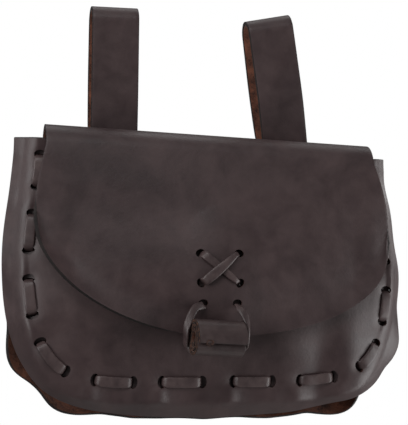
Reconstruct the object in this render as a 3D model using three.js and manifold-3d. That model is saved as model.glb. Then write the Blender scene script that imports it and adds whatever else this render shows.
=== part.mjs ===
// Medieval belt pouch in dark leather: a D-shaped front panel and a gusset laced to a back
// sheet that folds over the top as the flap, closed by a rolled leather toggle and hung from
// a belt by two strap loops. Millimetres, +Z up, +X to the pouch's right as seen from the
// front, the front faces -Y, and the origin is where the belt carries the loops.
import * as THREE from 'three';
import { mergeVertices } from 'three/addons/utils/BufferGeometryUtils.js';
import Module from 'manifold-3d';

const wasm = await Module();
wasm.setup();

// Leather stock
const HIDE = 2.0;
const LACE_WIDTH = 5.8;
const LACE_THICK = 1.8;
const TIE_WIDTH = 4.6;
const TIE_THICK = 2.0;
const GAP = 0.35;
const LAYER_SLACK = 0.2;

// Lacing holes: size along the line and across it, and how deep they are punched
const SLOT_ALONG = 2.9;
const SLOT_ACROSS = LACE_WIDTH + 1.1;
const SLOT_DEEP = 15;

// Body outline: the line that the lacing follows, and the mouth above it
const LACE_HALF = { left: 101, right: 99.5 };
const LACE_TOP_IN = { left: 6.8, right: 8 };
const LACE_BOTTOM = -203.5;
const LACE_POWER = 6;
const MOUTH_Z = -76.5;
const MOUTH_SLOPE = -0.037;

// Front panel's margin outside the lace line, for a side and for the bottom of the D
const CREASE_OUT = { side: 8, bottom: 11 };
const CREASE_BACK = { side: 6, bottom: 0.8 };
const RIM_BACK = { side: 19, bottom: 8 };
const PUCKER = 1.1;
const PUCKER_FROM = 0.6;

// How far the front panel's edge stands out of the lace line, by length along the line
const FRONT_RIM = [
  { s: 0, out: 13.6 },
  { s: 60, out: 12.9 },
  { s: 100, out: 12.6 },
  { s: 118, out: 12.9 },
  { s: 127, out: 14.9 },
  { s: 151, out: 17 },
  { s: 190, out: 19.8 },
  { s: 209, out: 20.4 },
  { s: 235, out: 19.4 },
  { s: 260, out: 17.4 },
  { s: 280, out: 15 },
  { s: 300, out: 17.1 },
  { s: 306, out: 16.2 },
  { s: 313, out: 18.6 },
  { s: 323, out: 15.6 },
  { s: 333, out: 13 },
  { s: 363, out: 11.5 },
];

// Depth of the body
const BACK_Y = -10.3;
const MOUTH_Y = -30;
const BOTTOM_Y = -47;
const BULGE = 12;

// Back panel's margin, wavy round the two lower corners
const BACK_FORWARD = { side: 3, bottom: 7 };
const RUFFLE = 2.3;
const RUFFLE_PITCH = 26;
const RUFFLE_SHARE = { corner: 4.4, bottom: 0.25 };
const FLANGE_OUT = 6;
const BACK_RIM = [
  { s: 0, out: 12 },
  { s: 96, out: 11.5 },
  { s: 107, out: 15 },
  { s: 117, out: 19 },
  { s: 126, out: 17.8 },
  { s: 137, out: 23.5 },
  { s: 156, out: 21.8 },
  { s: 173, out: 23.9 },
  { s: 213, out: 24.7 },
  { s: 251, out: 25 },
  { s: 271, out: 23 },
  { s: 286, out: 27.5 },
  { s: 295, out: 20 },
  { s: 311, out: 15 },
  { s: 325, out: 12 },
  { s: 339, out: 10 },
];

// Gusset: how far its flanges reach in, how far its wall bows out, and where it ends
const FLANGE_IN = -6.5;
const WALL_FOOT_OUT = 5;
const WALL_BOW = 1.2;
const GUSSET_END = 2;
const GUSSET_SLACK = 1.2;
const GUSSET_CORNER_SLACK = 2.6;

// Fold over the mouth
const FOLD_Z = -69.9;
const FOLD_SLOPE = -0.0385;
const FOLD_RADIUS = 13.4;
const FOLD_HALF = 92;
const FOLD_END = THREE.MathUtils.degToRad(163);

// Flap
const FLAP_SIDE = {
  left: { half: 97.8, turn: -118, power: 1.85, lift: 6 },
  right: { half: 99.5, turn: -127, power: 2.2, lift: 2 },
};
const FLAP_BOTTOM = -178;
const FLAP_REST = 3.2;
const FLAP_OVER_TIE = 2.4;
const FLAP_OVER_LACE = 2.2;
const FLAP_DROOP = 5;
const FLAP_LIFT_REACH = 18;
const FLAP_LIFT_ACROSS = { from: 12, to: 40 };
const FLAP_DROOP_POWER = 2.6;
const FLAP_DROOP_REACH = 40;
const FLAP_TIE_SPREAD = 22;
const FLAP_LACE_ACROSS = { from: 76, to: 92 };
const FLAP_REST_DOWN = { from: 96, to: 138 };

// Front lacing: where each hand-made stitch goes in and comes out, by length along the line
const FRONT_STITCHES = [
  { start: 10, end: 26.2 },
  { start: 42.2, end: 60.6 },
  { start: 76.9, end: 94.5 },
  { start: 110.7, end: 129.9 },
  { start: 147.7, end: 167 },
  { start: 184, end: 204.8 },
  { start: 223.4, end: 243.5 },
  { start: 260.8, end: 279.4 },
  { start: 296.1, end: 311.6 },
  { start: 325.6, end: 341.6 },
  { start: 359.1, end: 376.1 },
  { start: 393.6, end: 409.6 },
];

// Back lacing: even stitches
const BACK_FIRST = 17;
const BACK_STITCH = 19;
const BACK_PITCH = 35.4;

// How far a stitch bows off the leather, its hidden end reaches on, and its layers lie loose
const STITCH_BOW = 0.9;
const LACE_TAIL = 2;
const UNDER_SLACK = 7.5 * LAYER_SLACK;

// Closure: two rows of crossing holes, and the holes that the hanging loop leaves by
const CROSS_HALF = 9.4;
const CROSS_TOP = -134;
const CROSS_LOW = -149.5;
const LOOP_HOLE_Z = -161;
const LOOP_HOLE_HALF = 9.3;
const CLOSURE_HOLE = TIE_WIDTH + 0.9;
const CLOSURE_HOLE_DEEP = 8;
const CLOSURE_END = { x: 0.8, up: 0.6 };
const CLOSURE_UNDER_SLACK = 0.3;
const CROSS_SLACK = 0.2;
const LOOP_RISE = 0.8;

// Toggle: a rolled strip, turned a little to the left and tipped down at the right
const TOGGLE_LENGTH = 26.8;
const TOGGLE_CENTRE = new THREE.Vector3(-3.8, -70, -177.6);
const TOGGLE_TURN = THREE.MathUtils.degToRad(6);
const TOGGLE_TILT = THREE.MathUtils.degToRad(3.5);
const TOGGLE_HIDE = 1.75;
const TOGGLE_OUTER = 8.6;
const TOGGLE_TURNS = 2.95;
const TOGGLE_PITCH = 2.35;
const TOGGLE_JOG = 0.06;
const TOGGLE_END = THREE.MathUtils.degToRad(-101);
const TOGGLE_STEPS_PER_TURN = 14;

// The toggle's tie, from its tip proud of the roll to its end behind the front panel
const TOGGLE_TIE = {
  x: -10.3, tipY: -81.3, z: -179, rootZ: -180.6, rootOff: 4, tail: 9, width: 4, thick: 3.6,
};
const TIE_WAY = 0.9;

// Belt loops: place, lean, how far the top is raised, its skew and the front strand's bow
const STRAP_WIDTH = 26.5;
const STRAP_HALF_GAP = 8;
const STRAP_BASE = -121;
const STRAPS = {
  left: { x: -51.8, lean: 0, raised: 1.8, skew: 0, bow: 0.8 },
  right: { x: 52.2, lean: -8, raised: 0.9, skew: 0.06, bow: 2.6 },
};
const STRAP_SKEW_FROM = -60;
const STRAP_PIVOT_Z = -103;
const STRAP_HOLE_HALF = 6.5;
const STRAP_HOLES = { top: -101, low: -114 };
const STRAP_LACE_TAIL = 1.5;
const STRAP_BAR_DOWN = 1.9;

// Dents and bumps of the front panel: place, spread and depth of each
const DENTS = [
  { x: 37, z: -183, across: 16, along: 13, deep: -2.3 },
  { x: 60, z: -195, across: 8.5, along: 17, deep: 1.8 },
  { x: 76, z: -184, across: 10, along: 16, deep: -1.6 },
  { x: 104, z: -184, across: 22, along: 19, deep: 5.6 },
  { x: 20, z: -192, across: 30, along: 6, deep: 0.8 },
  { x: -88, z: -178, across: 10, along: 8, deep: 1.2 },
];

const clamp = THREE.MathUtils.clamp;
const lerp = THREE.MathUtils.lerp;
const smoothstep = THREE.MathUtils.smoothstep;
const sideOf = (x) => (x < 0 ? 'left' : 'right');
const evenly = (from, to, steps) => (
  Array.from({ length: steps + 1 }, (_, i) => lerp(from, to, i / steps)));

// Value of a table's column at a length along the lace line, straight between its rows
function tableAt(rows, key, s) {
  const next = rows.findIndex((row) => row.s > s);
  if (next === 0) {
    return rows[0][key];
  }
  if (next < 0) {
    return rows.at(-1)[key];
  }
  const [a, b] = [rows[next - 1], rows[next]];
  return lerp(a[key], b[key], (s - a.s) / (b.s - a.s));
}

function mouthZ(x) {
  return MOUTH_Z + MOUTH_SLOPE * x;
}

function foldZ(x) {
  return FOLD_Z + FOLD_SLOPE * x;
}

// Point of the lace line for q from 0 (left mouth corner) through 2 (bottom) to 4 (right)
function outlinePoint(q) {
  const across = clamp(Math.abs(q - 2) > 1 ? Math.sign(q - 2) : q - 2, -1, 1);
  const down = Math.min(1, q, 4 - q);
  const norm = (Math.abs(across) ** LACE_POWER + down ** LACE_POWER) ** (1 / LACE_POWER);
  const side = sideOf(across);
  const v = down / norm;
  const taper = 1 - smoothstep(v, 0, 0.55);
  const x = (across / norm) * (LACE_HALF[side] - LACE_TOP_IN[side] * taper);
  const top = mouthZ(x);
  return { x, z: top - v * (top - LACE_BOTTOM) };
}

// The same line by its length, from a fine table of its own points
const ARC = (() => {
  const steps = 480;
  const rows = [];
  let s = 0;
  for (let i = 0; i <= steps; i += 1) {
    const q = (4 * i) / steps;
    const p = outlinePoint(q);
    if (i > 0) {
      s += Math.hypot(p.x - rows[i - 1].x, p.z - rows[i - 1].z);
    }
    rows.push({ q, s, x: p.x, z: p.z });
  }
  return { rows, length: s };
})();

function readArc(key, value) {
  const rows = ARC.rows;
  let low = 0;
  let high = rows.length - 1;
  while (high - low > 1) {
    const mid = (low + high) >> 1;
    if (rows[mid][key] <= value) {
      low = mid;
    } else {
      high = mid;
    }
  }
  const a = rows[low];
  const b = rows[high];
  const t = (value - a[key]) / (b[key] - a[key]);
  return { s: lerp(a.s, b.s, t), x: lerp(a.x, b.x, t), z: lerp(a.z, b.z, t) };
}

// Point, outward direction and share of bottom at a length along the lace line
function edgeFrame(s) {
  const reach = 5;
  const here = readArc('s', s);
  const a = readArc('s', Math.max(0, s - reach));
  const b = readArc('s', Math.min(ARC.length, s + reach));
  const length = Math.hypot(b.x - a.x, b.z - a.z);
  const out = { x: (b.z - a.z) / length, z: -(b.x - a.x) / length };
  return { x: here.x, z: here.z, out, bottom: out.z * out.z };
}

function dents(x, z) {
  let y = 0;
  for (const dent of DENTS) {
    const across = (x - dent.x) / dent.across;
    const along = (z - dent.z) / dent.along;
    y += dent.deep * Math.exp(-across * across - along * along);
  }
  return y;
}

// Middle of the front panel's leather inside the lace line
function panelY(x, z) {
  const down = clamp((mouthZ(x) - z) / (mouthZ(x) - LACE_BOTTOM), 0, 1.1);
  const lean = lerp(MOUTH_Y, BOTTOM_Y, smoothstep(down, 0, 1));
  const across = Math.min(1, Math.abs(x / LACE_HALF[sideOf(x)]));
  const swell = (1 - across ** 3) * Math.sin(Math.PI * Math.min(1, down)) ** 1.5;
  return lean - BULGE * swell + dents(x, z);
}

function between(pair, bottom) {
  return lerp(pair.side, pair.bottom, bottom);
}

// Stitch ends of the front, counted in stitches from the middle of the first
const STITCH_COUNTS = FRONT_STITCHES.flatMap(({ start, end }, i) => [
  { s: start, count: i - 0.25 },
  { s: end, count: i + 0.25 },
]);

// Puckers drawn in by the lacing: drawn back at each stitch, proud between the stitches
function pucker(s) {
  return Math.cos(2 * Math.PI * tableAt(STITCH_COUNTS, 'count', s));
}

// Front panel by length along the lace line and distance out of it; in is negative
function frontAt(s, out) {
  const edge = edgeFrame(s);
  if (out <= 0) {
    const x = edge.x + edge.out.x * out;
    const z = edge.z + edge.out.z * out;
    return new THREE.Vector3(x, panelY(x, z), z);
  }
  const crease = between(CREASE_OUT, edge.bottom);
  const rim = tableAt(FRONT_RIM, 'out', s);
  const middle = panelY(edge.x, edge.z);
  const deep = (BACK_Y - middle) / (BACK_Y - BOTTOM_Y);
  const creaseBack = between(CREASE_BACK, edge.bottom) * deep;
  const rimBack = between(RIM_BACK, edge.bottom) * deep;
  const far = (out - crease) / (rim - crease);
  const back = out < crease
    ? creaseBack * (out / crease)
    : lerp(creaseBack, rimBack, far);
  const drawn = PUCKER * pucker(s) * smoothstep(out, PUCKER_FROM * crease, rim);
  const y = middle + back + drawn;
  return new THREE.Vector3(edge.x + edge.out.x * out, y, edge.z + edge.out.z * out);
}

// Ruffled share of the back panel's rim: only round the two lower corners
function ruffle(edge, s) {
  const { corner, bottom } = RUFFLE_SHARE;
  const share = Math.min(1, edge.bottom * (corner * (1 - edge.bottom) + bottom));
  return share * Math.sin((2 * Math.PI * s) / RUFFLE_PITCH);
}

// Back of the sheet: flat, and leaning forward where the fold begins above the mouth
function backY(x, z) {
  const above = z - (foldZ(x) - FOLD_RADIUS);
  if (above <= 0) {
    return BACK_Y;
  }
  return BACK_Y - FOLD_RADIUS + Math.sqrt(FOLD_RADIUS ** 2 - above ** 2);
}

function backAt(s, out) {
  const edge = edgeFrame(s);
  const rim = tableAt(BACK_RIM, 'out', s);
  const share = clamp((out - FLANGE_OUT) / (rim - FLANGE_OUT), 0, 1);
  const lift = between(BACK_FORWARD, edge.bottom) + RUFFLE * ruffle(edge, s);
  const y = backY(edge.x, edge.z) - lift * share * share;
  return new THREE.Vector3(edge.x + edge.out.x * out, y, edge.z + edge.out.z * out);
}

// A D of rings: inside the lace line the rings shrink to the middle of the mouth, outside
// it they run parallel to the line. across is -1 to 1 and down 0 to 1.
const LACE_RING = 0.845;
const CREASE_RING = 0.93;

function ringPoint(across, down, marginAt, margin, insideY) {
  const ring = Math.max(Math.abs(across), down, 1e-6);
  const a = across / ring;
  const d = down / ring;
  const q = Math.abs(a) >= 0.999999 ? (a < 0 ? d : 4 - d) : a + 2;
  const here = readArc('q', q);
  if (ring <= LACE_RING) {
    const x = (here.x * ring) / LACE_RING;
    const top = mouthZ(x);
    const z = top - (d > 0 ? ((mouthZ(here.x) - here.z) * ring) / LACE_RING : 0);
    return new THREE.Vector3(x, insideY(x, z), z);
  }
  const bottom = edgeFrame(here.s).bottom;
  const crease = between(margin.crease, bottom);
  const out = ring < CREASE_RING
    ? (crease * (ring - LACE_RING)) / (CREASE_RING - LACE_RING)
    : lerp(crease, tableAt(margin.rim, 'out', here.s), (ring - CREASE_RING) / (1 - CREASE_RING));
  return marginAt(here.s, out);
}

function frontPoint(across, down) {
  return ringPoint(across, down, frontAt, { crease: CREASE_OUT, rim: FRONT_RIM }, panelY);
}

function backPoint(across, down) {
  const crease = { side: FLANGE_OUT, bottom: 2 * FLANGE_OUT };
  return ringPoint(across, down, backAt, { crease, rim: BACK_RIM }, backY);
}

// Flap: a face that leans forward from the fold, then lies over the front panel
function flapY(x, z) {
  const endY = BACK_Y - FOLD_RADIUS * (1 - Math.cos(FOLD_END));
  const startZ = foldZ(x) - FOLD_RADIUS * (1 - Math.sin(FOLD_END));
  const droop = FLAP_DROOP * Math.abs(x / FLAP_SIDE.left.half) ** FLAP_DROOP_POWER;
  const lean = endY - (startZ - z) * Math.tan(Math.PI - FOLD_END)
    + droop * smoothstep(startZ - z, 0, FLAP_DROOP_REACH);
  const overTie = FLAP_OVER_TIE * Math.exp(-((x / FLAP_TIE_SPREAD) ** 2));
  const { from, to } = FLAP_LACE_ACROSS;
  const overLace = FLAP_OVER_LACE * smoothstep(Math.abs(x), from, to);
  const rest = panelY(x, z) - FLAP_REST - overTie - overLace - flapLift(x, z);
  const down = smoothstep(-z, FLAP_REST_DOWN.from, FLAP_REST_DOWN.to);
  return Math.min(rest, lerp(lean, rest, down));
}

// How far the flap's lower edge stands off, beside the toggle
function flapLift(x, z) {
  const side = FLAP_SIDE[sideOf(x)];
  const near = 1 - clamp((z - flapEdgeZ(x, side)) / FLAP_LIFT_REACH, 0, 1);
  const { from, to } = FLAP_LIFT_ACROSS;
  return near * near * side.lift * smoothstep(Math.abs(x), from, to);
}

function flapEdgeZ(x, side) {
  const share = Math.min(1, Math.abs(x) / side.half) ** side.power;
  return side.turn - (side.turn - FLAP_BOTTOM) * (1 - share) ** (1 / side.power);
}

// Back sheet: down 0 to 1 is the back panel upside down, 1 to 2 the fold, 2 to 3 the flap
function backSheetPoint(across, along) {
  if (along <= 1) {
    return backPoint(across, 1 - along);
  }
  const side = FLAP_SIDE[sideOf(across)];
  const x = across * FOLD_HALF;
  const top = foldZ(x);
  if (along <= 2) {
    const start = Math.asin((mouthZ(x) - top + FOLD_RADIUS) / FOLD_RADIUS);
    const angle = lerp(start, FOLD_END, along - 1);
    const y = BACK_Y - FOLD_RADIUS * (1 - Math.cos(angle));
    return new THREE.Vector3(x, y, top - FOLD_RADIUS * (1 - Math.sin(angle)));
  }
  const wide = across * side.half;
  const end = flapEdgeZ(wide, side);
  const down = along - 2;
  const widen = Math.sin((Math.PI / 2) * Math.min(1, down * (top - end) / 46));
  const fx = lerp(x, wide, widen);
  const startZ = top - FOLD_RADIUS * (1 - Math.sin(FOLD_END));
  const z = lerp(startZ, end, down);
  return new THREE.Vector3(fx, flapY(fx, z), z);
}

// Direction that a surface faces, from its own neighbours in both parameters
function facing(surface, u, v, span) {
  const step = 0.004;
  const a = surface(Math.min(span.u[1], u + step), v);
  const b = surface(Math.max(span.u[0], u - step), v);
  const c = surface(u, Math.min(span.v[1], v + step));
  const d = surface(u, Math.max(span.v[0], v - step));
  return a.sub(b).cross(d.sub(c)).normalize();
}

// A sheet of even thickness over a grid of knots
function sheet(surface, us, vs, thick, flip = false) {
  const geometry = new THREE.BoxGeometry(1, 1, 1, us.length - 1, vs.length - 1, 1);
  const span = { u: [us[0], us.at(-1)], v: [vs[0], vs.at(-1)] };
  const place = geometry.attributes.position;
  const cache = new Map();
  for (let i = 0; i < place.count; i += 1) {
    const column = Math.round((place.getX(i) + 0.5) * (us.length - 1));
    const row = Math.round((0.5 - place.getY(i)) * (vs.length - 1));
    const front = place.getZ(i) > 0 ? 1 : -1;
    const key = column * 1000 + row;
    if (!cache.has(key)) {
      const inset = 0.02;
      const u = us[column];
      const v = vs[row];
      const su = clamp(u, span.u[0] + inset, span.u[1] - inset);
      const sv = clamp(v, span.v[0] + inset, span.v[1] - inset);
      cache.set(key, { middle: surface(u, v), normal: facing(surface, su, sv, span) });
    }
    const { middle, normal } = cache.get(key);
    const offset = (front * thick) / 2 * (flip ? -1 : 1);
    place.setXYZ(
      i,
      middle.x + normal.x * offset,
      middle.y + normal.y * offset,
      middle.z + normal.z * offset,
    );
  }
  return closed(geometry);
}

function closed(geometry) {
  geometry.deleteAttribute('normal');
  geometry.deleteAttribute('uv');
  const merged = mergeVertices(geometry, 1e-4);
  if (volume(merged) < 0) {
    const index = merged.index;
    for (let i = 0; i < index.count; i += 3) {
      const first = index.getX(i);
      index.setX(i, index.getX(i + 1));
      index.setX(i + 1, first);
    }
  }
  return merged;
}

function volume(geometry) {
  const p = geometry.attributes.position;
  const index = geometry.index;
  const [a, b, c] = [new THREE.Vector3(), new THREE.Vector3(), new THREE.Vector3()];
  let sum = 0;
  for (let i = 0; i < index.count; i += 3) {
    a.fromBufferAttribute(p, index.getX(i));
    b.fromBufferAttribute(p, index.getX(i + 1));
    c.fromBufferAttribute(p, index.getX(i + 2));
    sum += a.dot(b.cross(c)) / 6;
  }
  return sum;
}

// A thong: stations with a place, the direction of its width and, where it narrows, a share
// of the width; mitred where it turns
function thong(stations, width, thick) {
  const count = stations.length;
  const geometry = new THREE.BoxGeometry(1, 1, 1, count - 1, 1, 1);
  const place = geometry.attributes.position;
  const frames = stations.map((station, i) => {
    const before = stations[Math.max(0, i - 1)].at;
    const after = stations[Math.min(count - 1, i + 1)].at;
    const into = station.at.clone().sub(before);
    const from = after.clone().sub(station.at);
    const runIn = i === 0 ? from.clone().normalize() : into.normalize();
    const runOut = i === count - 1 ? runIn.clone() : from.clone().normalize();
    const run = runIn.clone().add(runOut).normalize();
    const wide = station.wide.clone().addScaledVector(run, -station.wide.dot(run)).normalize();
    const deep = new THREE.Vector3().crossVectors(wide, run);
    const mitre = Math.min(1.6, 1 / Math.max(0.3, run.dot(runIn)));
    return { wide: wide.multiplyScalar(station.share ?? 1), deep, mitre };
  });
  for (let i = 0; i < place.count; i += 1) {
    const n = Math.round((place.getX(i) + 0.5) * (count - 1));
    const { wide, deep, mitre } = frames[n];
    const point = stations[n].at.clone();
    point.addScaledVector(wide, place.getY(i) * width);
    point.addScaledVector(deep, place.getZ(i) * thick * mitre);
    place.setXYZ(i, point.x, point.y, point.z);
  }
  return closed(geometry);
}

function toManifold(geometry) {
  return new wasm.Manifold(new wasm.Mesh({
    numProp: 3,
    vertProperties: new Float32Array(geometry.attributes.position.array),
    triVerts: new Uint32Array(geometry.index.array),
  }));
}

function toGeometry(solid) {
  const mesh = solid.getMesh();
  const result = new THREE.BufferGeometry();
  result.setAttribute('position', new THREE.BufferAttribute(mesh.vertProperties, 3));
  result.setIndex(new THREE.BufferAttribute(mesh.triVerts, 1));
  return result;
}

// A box with its sides along three given directions
function block(centre, along, across, through, size) {
  const geometry = new THREE.BoxGeometry(size.along, size.across, size.through);
  const basis = new THREE.Matrix4().makeBasis(along, across, through);
  geometry.applyMatrix4(basis.setPosition(centre));
  return closed(geometry);
}

function cut(geometry, cutters) {
  let solid = toManifold(geometry);
  for (const cutter of cutters) {
    solid = solid.subtract(toManifold(cutter));
  }
  return toGeometry(solid);
}

// Frame of a lacing hole or stitch end: on the leather, along the line, out of it and off it
function laceFrame(surfaceAt, s, front) {
  const at = surfaceAt(s, 0);
  const along = surfaceAt(s + 1.5, 0).sub(surfaceAt(s - 1.5, 0)).normalize();
  const out = surfaceAt(s, 2.5).sub(surfaceAt(s, -2.5)).normalize();
  const off = new THREE.Vector3().crossVectors(along, out).normalize();
  if (off.y * front > 0) {
    off.negate();
  }
  const across = new THREE.Vector3().crossVectors(off, along).normalize();
  return { at, along, across, off };
}

const BACK_STITCHES = Array.from(
  { length: Math.floor((ARC.length - BACK_FIRST - BACK_STITCH) / BACK_PITCH) + 1 },
  (_, i) => {
    const start = BACK_FIRST + BACK_PITCH * i;
    return { start, end: start + BACK_STITCH };
  },
);

// The two lacings: the leather that each runs on, the side that it faces and its stitches
const FRONT_LACING = { surfaceAt: frontAt, front: 1, stitches: FRONT_STITCHES };
const BACK_LACING = { surfaceAt: backAt, front: -1, stitches: BACK_STITCHES };

function laceSlots({ surfaceAt, front, stitches }) {
  return stitches.flatMap(({ start, end }) => [start, end]).map((s) => {
    const { at, along, across, off } = laceFrame(surfaceAt, s, front);
    const size = { along: SLOT_ALONG, across: SLOT_ACROSS, through: SLOT_DEEP };
    return block(at, along, across, off, size);
  });
}

// Running stitch: over the outer leather, through both layers, and along behind them
function runningLace({ surfaceAt, front, stitches }) {
  const over = HIDE / 2 + GAP + LACE_THICK / 2;
  const under = HIDE / 2 + GAP + HIDE + GAP + UNDER_SLACK + LACE_THICK / 2;
  const stations = [];
  const add = (s, height) => {
    const { at, across, off } = laceFrame(surfaceAt, s, front);
    stations.push({ at: at.addScaledVector(off, height), wide: across });
  };
  stitches.forEach(({ start, end }, i) => {
    const next = stitches[i + 1];
    add(start, i === 0 ? -under - LACE_TAIL : -under);
    add(start, over);
    add((start + end) / 2, over + STITCH_BOW);
    add(end, over);
    if (next) {
      add(end, -under);
      add((end + next.start) / 2, -under - STITCH_BOW);
    } else {
      add(end, -under - LACE_TAIL);
    }
  });
  return thong(stations, LACE_WIDTH, LACE_THICK);
}

// Gusset: a flange behind the front panel, the wall, and a flange before the back panel
const GUSSET_ROWS = [
  { part: 'front', out: FLANGE_IN },
  { part: 'front', out: 0 },
  { part: 'front', shareOfCrease: 0.6 },
  { part: 'wall', share: 0.25 },
  { part: 'wall', share: 0.75 },
  { part: 'back', out: WALL_FOOT_OUT },
  { part: 'back', out: FLANGE_IN },
];
const WALL_HEAD = GUSSET_ROWS[2];
const WALL_FOOT = GUSSET_ROWS[5];

function gussetPoint(s, row) {
  const low = Math.min(GUSSET_ROWS.length - 2, Math.floor(row));
  const a = gussetRow(s, GUSSET_ROWS[low]);
  const b = gussetRow(s, GUSSET_ROWS[low + 1]);
  return a.lerp(b, row - low);
}

function gussetRow(s, row) {
  const edge = edgeFrame(s);
  const crease = between(CREASE_OUT, edge.bottom);
  const corner = 4 * edge.bottom * (1 - edge.bottom);
  const slack = LAYER_SLACK * (GUSSET_SLACK + GUSSET_CORNER_SLACK * corner);
  const apart = HIDE + GAP + slack;
  if (row.part === 'back') {
    const point = backAt(s, row.out);
    point.y -= apart;
    return point;
  }
  if (row.part === 'front') {
    const out = row.out ?? crease * row.shareOfCrease;
    const step = 0.5;
    const at = frontAt(s, out);
    const along = frontAt(s + step, out).sub(frontAt(s - step, out));
    const across = frontAt(s, out + step).sub(frontAt(s, out - step));
    const off = along.cross(across).normalize();
    return at.addScaledVector(off, off.y > 0 ? apart : -apart);
  }
  const point = gussetRow(s, WALL_HEAD).lerp(gussetRow(s, WALL_FOOT), row.share);
  point.x += edge.out.x * WALL_BOW;
  point.z += edge.out.z * WALL_BOW;
  return point;
}

// Closed thong of the closure: the cross on the flap's face and the loop that hangs from it
function closureStations() {
  const over = HIDE / 2 + GAP + TIE_THICK / 2;
  const under = -over - CLOSURE_UNDER_SLACK;
  const top = over + TIE_THICK + GAP + CROSS_SLACK;
  const c = CROSS_HALF;
  const h = LOOP_HOLE_HALF;
  const end = CLOSURE_END;
  const onFlap = (x, z, height, wide, share) => {
    const step = 0.5;
    const slopeX = (flapY(x + step, z) - flapY(x - step, z)) / (2 * step);
    const slopeZ = (flapY(x, z + step) - flapY(x, z - step)) / (2 * step);
    const off = new THREE.Vector3(slopeX, -1, slopeZ).normalize();
    const direction = new THREE.Vector3(wide[0], 0, wide[1]);
    direction.addScaledVector(off, -direction.dot(off));
    const at = new THREE.Vector3(x, flapY(x, z), z).addScaledVector(off, height);
    return { at, wide: direction, share };
  };
  const hanging = (x, y, z, wide) => ({
    at: new THREE.Vector3(x, y, z).add(TOGGLE_CENTRE),
    wide: new THREE.Vector3(...wide),
  });
  const upper = lerp(CROSS_TOP, CROSS_LOW, 0.3);
  const lower = lerp(CROSS_TOP, CROSS_LOW, 0.7);
  const rows = [
    onFlap(end.x, CROSS_TOP + end.up, under, [0, 1]),
    onFlap(c, CROSS_TOP, under, [0, 1]),
    onFlap(c, CROSS_TOP, over, [0.82, -1], 0.8),
    onFlap(0.4 * c, upper, top, [0.82, -1]),
    onFlap(-0.4 * c, lower, top, [0.82, -1]),
    onFlap(-c, CROSS_LOW, over, [0.82, -1], 0.9),
    onFlap(-c, CROSS_LOW, under, [1, 0]),
    onFlap(-h, LOOP_HOLE_Z, under, [1, 0]),
    onFlap(-h, LOOP_HOLE_Z, over + LOOP_RISE, [1, -0.4]),
    hanging(-11, 8.2, 15.4, [0.7, -0.3, -1]),
    hanging(-15.3, 5.6, 11.2, [0.9, -0.4, -0.9]),
    hanging(-16.9, 3.4, 4.6, [0.7, -1, -0.4]),
    hanging(-17.2, 3.2, -1, [0.3, -1, 0]),
    hanging(-16.8, 5.6, -5.4, [0.3, -1, -0.4]),
    hanging(-13, 11.4, -8, [0, -0.6, -1]),
    hanging(0, 12.8, -8.4, [0, -0.4, -1]),
    hanging(13, 11.4, -8, [0, -0.6, -1]),
    hanging(17, 5.6, -5.4, [-0.3, -1, -0.4]),
    hanging(17.4, 3.2, -1, [-0.3, -1, 0]),
    hanging(17.4, 3.2, 5, [-0.4, -1, -0.2]),
    hanging(15.8, 5.2, 10.8, [-1, -0.6, -0.5]),
    hanging(14, 7.6, 14.4, [-1, -0.3, -0.5]),
    onFlap(h, LOOP_HOLE_Z, over + LOOP_RISE, [-1, 0.3]),
    onFlap(h, LOOP_HOLE_Z, under, [-1, 0]),
    onFlap(c, CROSS_LOW, under, [-1, 0]),
    onFlap(c, CROSS_LOW, over, [0.82, 1], 0.8),
    onFlap(0.4 * c, lower, over, [0.82, 1]),
    onFlap(-0.4 * c, upper, over, [0.82, 1]),
    onFlap(-c, CROSS_TOP, over, [0.82, 1], 0.9),
    onFlap(-c, CROSS_TOP, under, [0, 1]),
    onFlap(-end.x, CROSS_TOP + end.up, under, [0, 1]),
  ];
  for (let i = 1; i < rows.length; i += 1) {
    if (rows[i].wide.dot(rows[i - 1].wide) < 0) {
      rows[i].wide.negate();
    }
  }
  return rows;
}

function closureSlots() {
  const rows = [
    { half: CROSS_HALF, z: CROSS_TOP },
    { half: CROSS_HALF, z: CROSS_LOW },
    { half: LOOP_HOLE_HALF, z: LOOP_HOLE_Z },
  ];
  return rows.flatMap(({ half, z }) => [-half, half].map((x) => {
    const hole = new THREE.BoxGeometry(CLOSURE_HOLE, CLOSURE_HOLE_DEEP, CLOSURE_HOLE);
    return closed(hole.translate(x, flapY(x, z), z));
  }));
}

// Distance from the roll's middle at a turn: round, with a step out to each next layer
function toggleRadius(turn) {
  const inwards = TOGGLE_TURNS - turn;
  const layer = Math.floor(inwards);
  const ring = TOGGLE_OUTER - TOGGLE_PITCH * layer;
  const jog = (TOGGLE_JOG * TOGGLE_OUTER) / (ring - TOGGLE_PITCH / 2);
  const share = Math.min(1, (1 - (inwards - layer)) / jog);
  return { radius: ring - TOGGLE_PITCH * (1 - share), jogEnd: TOGGLE_TURNS - layer - 1 + jog };
}

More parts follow.
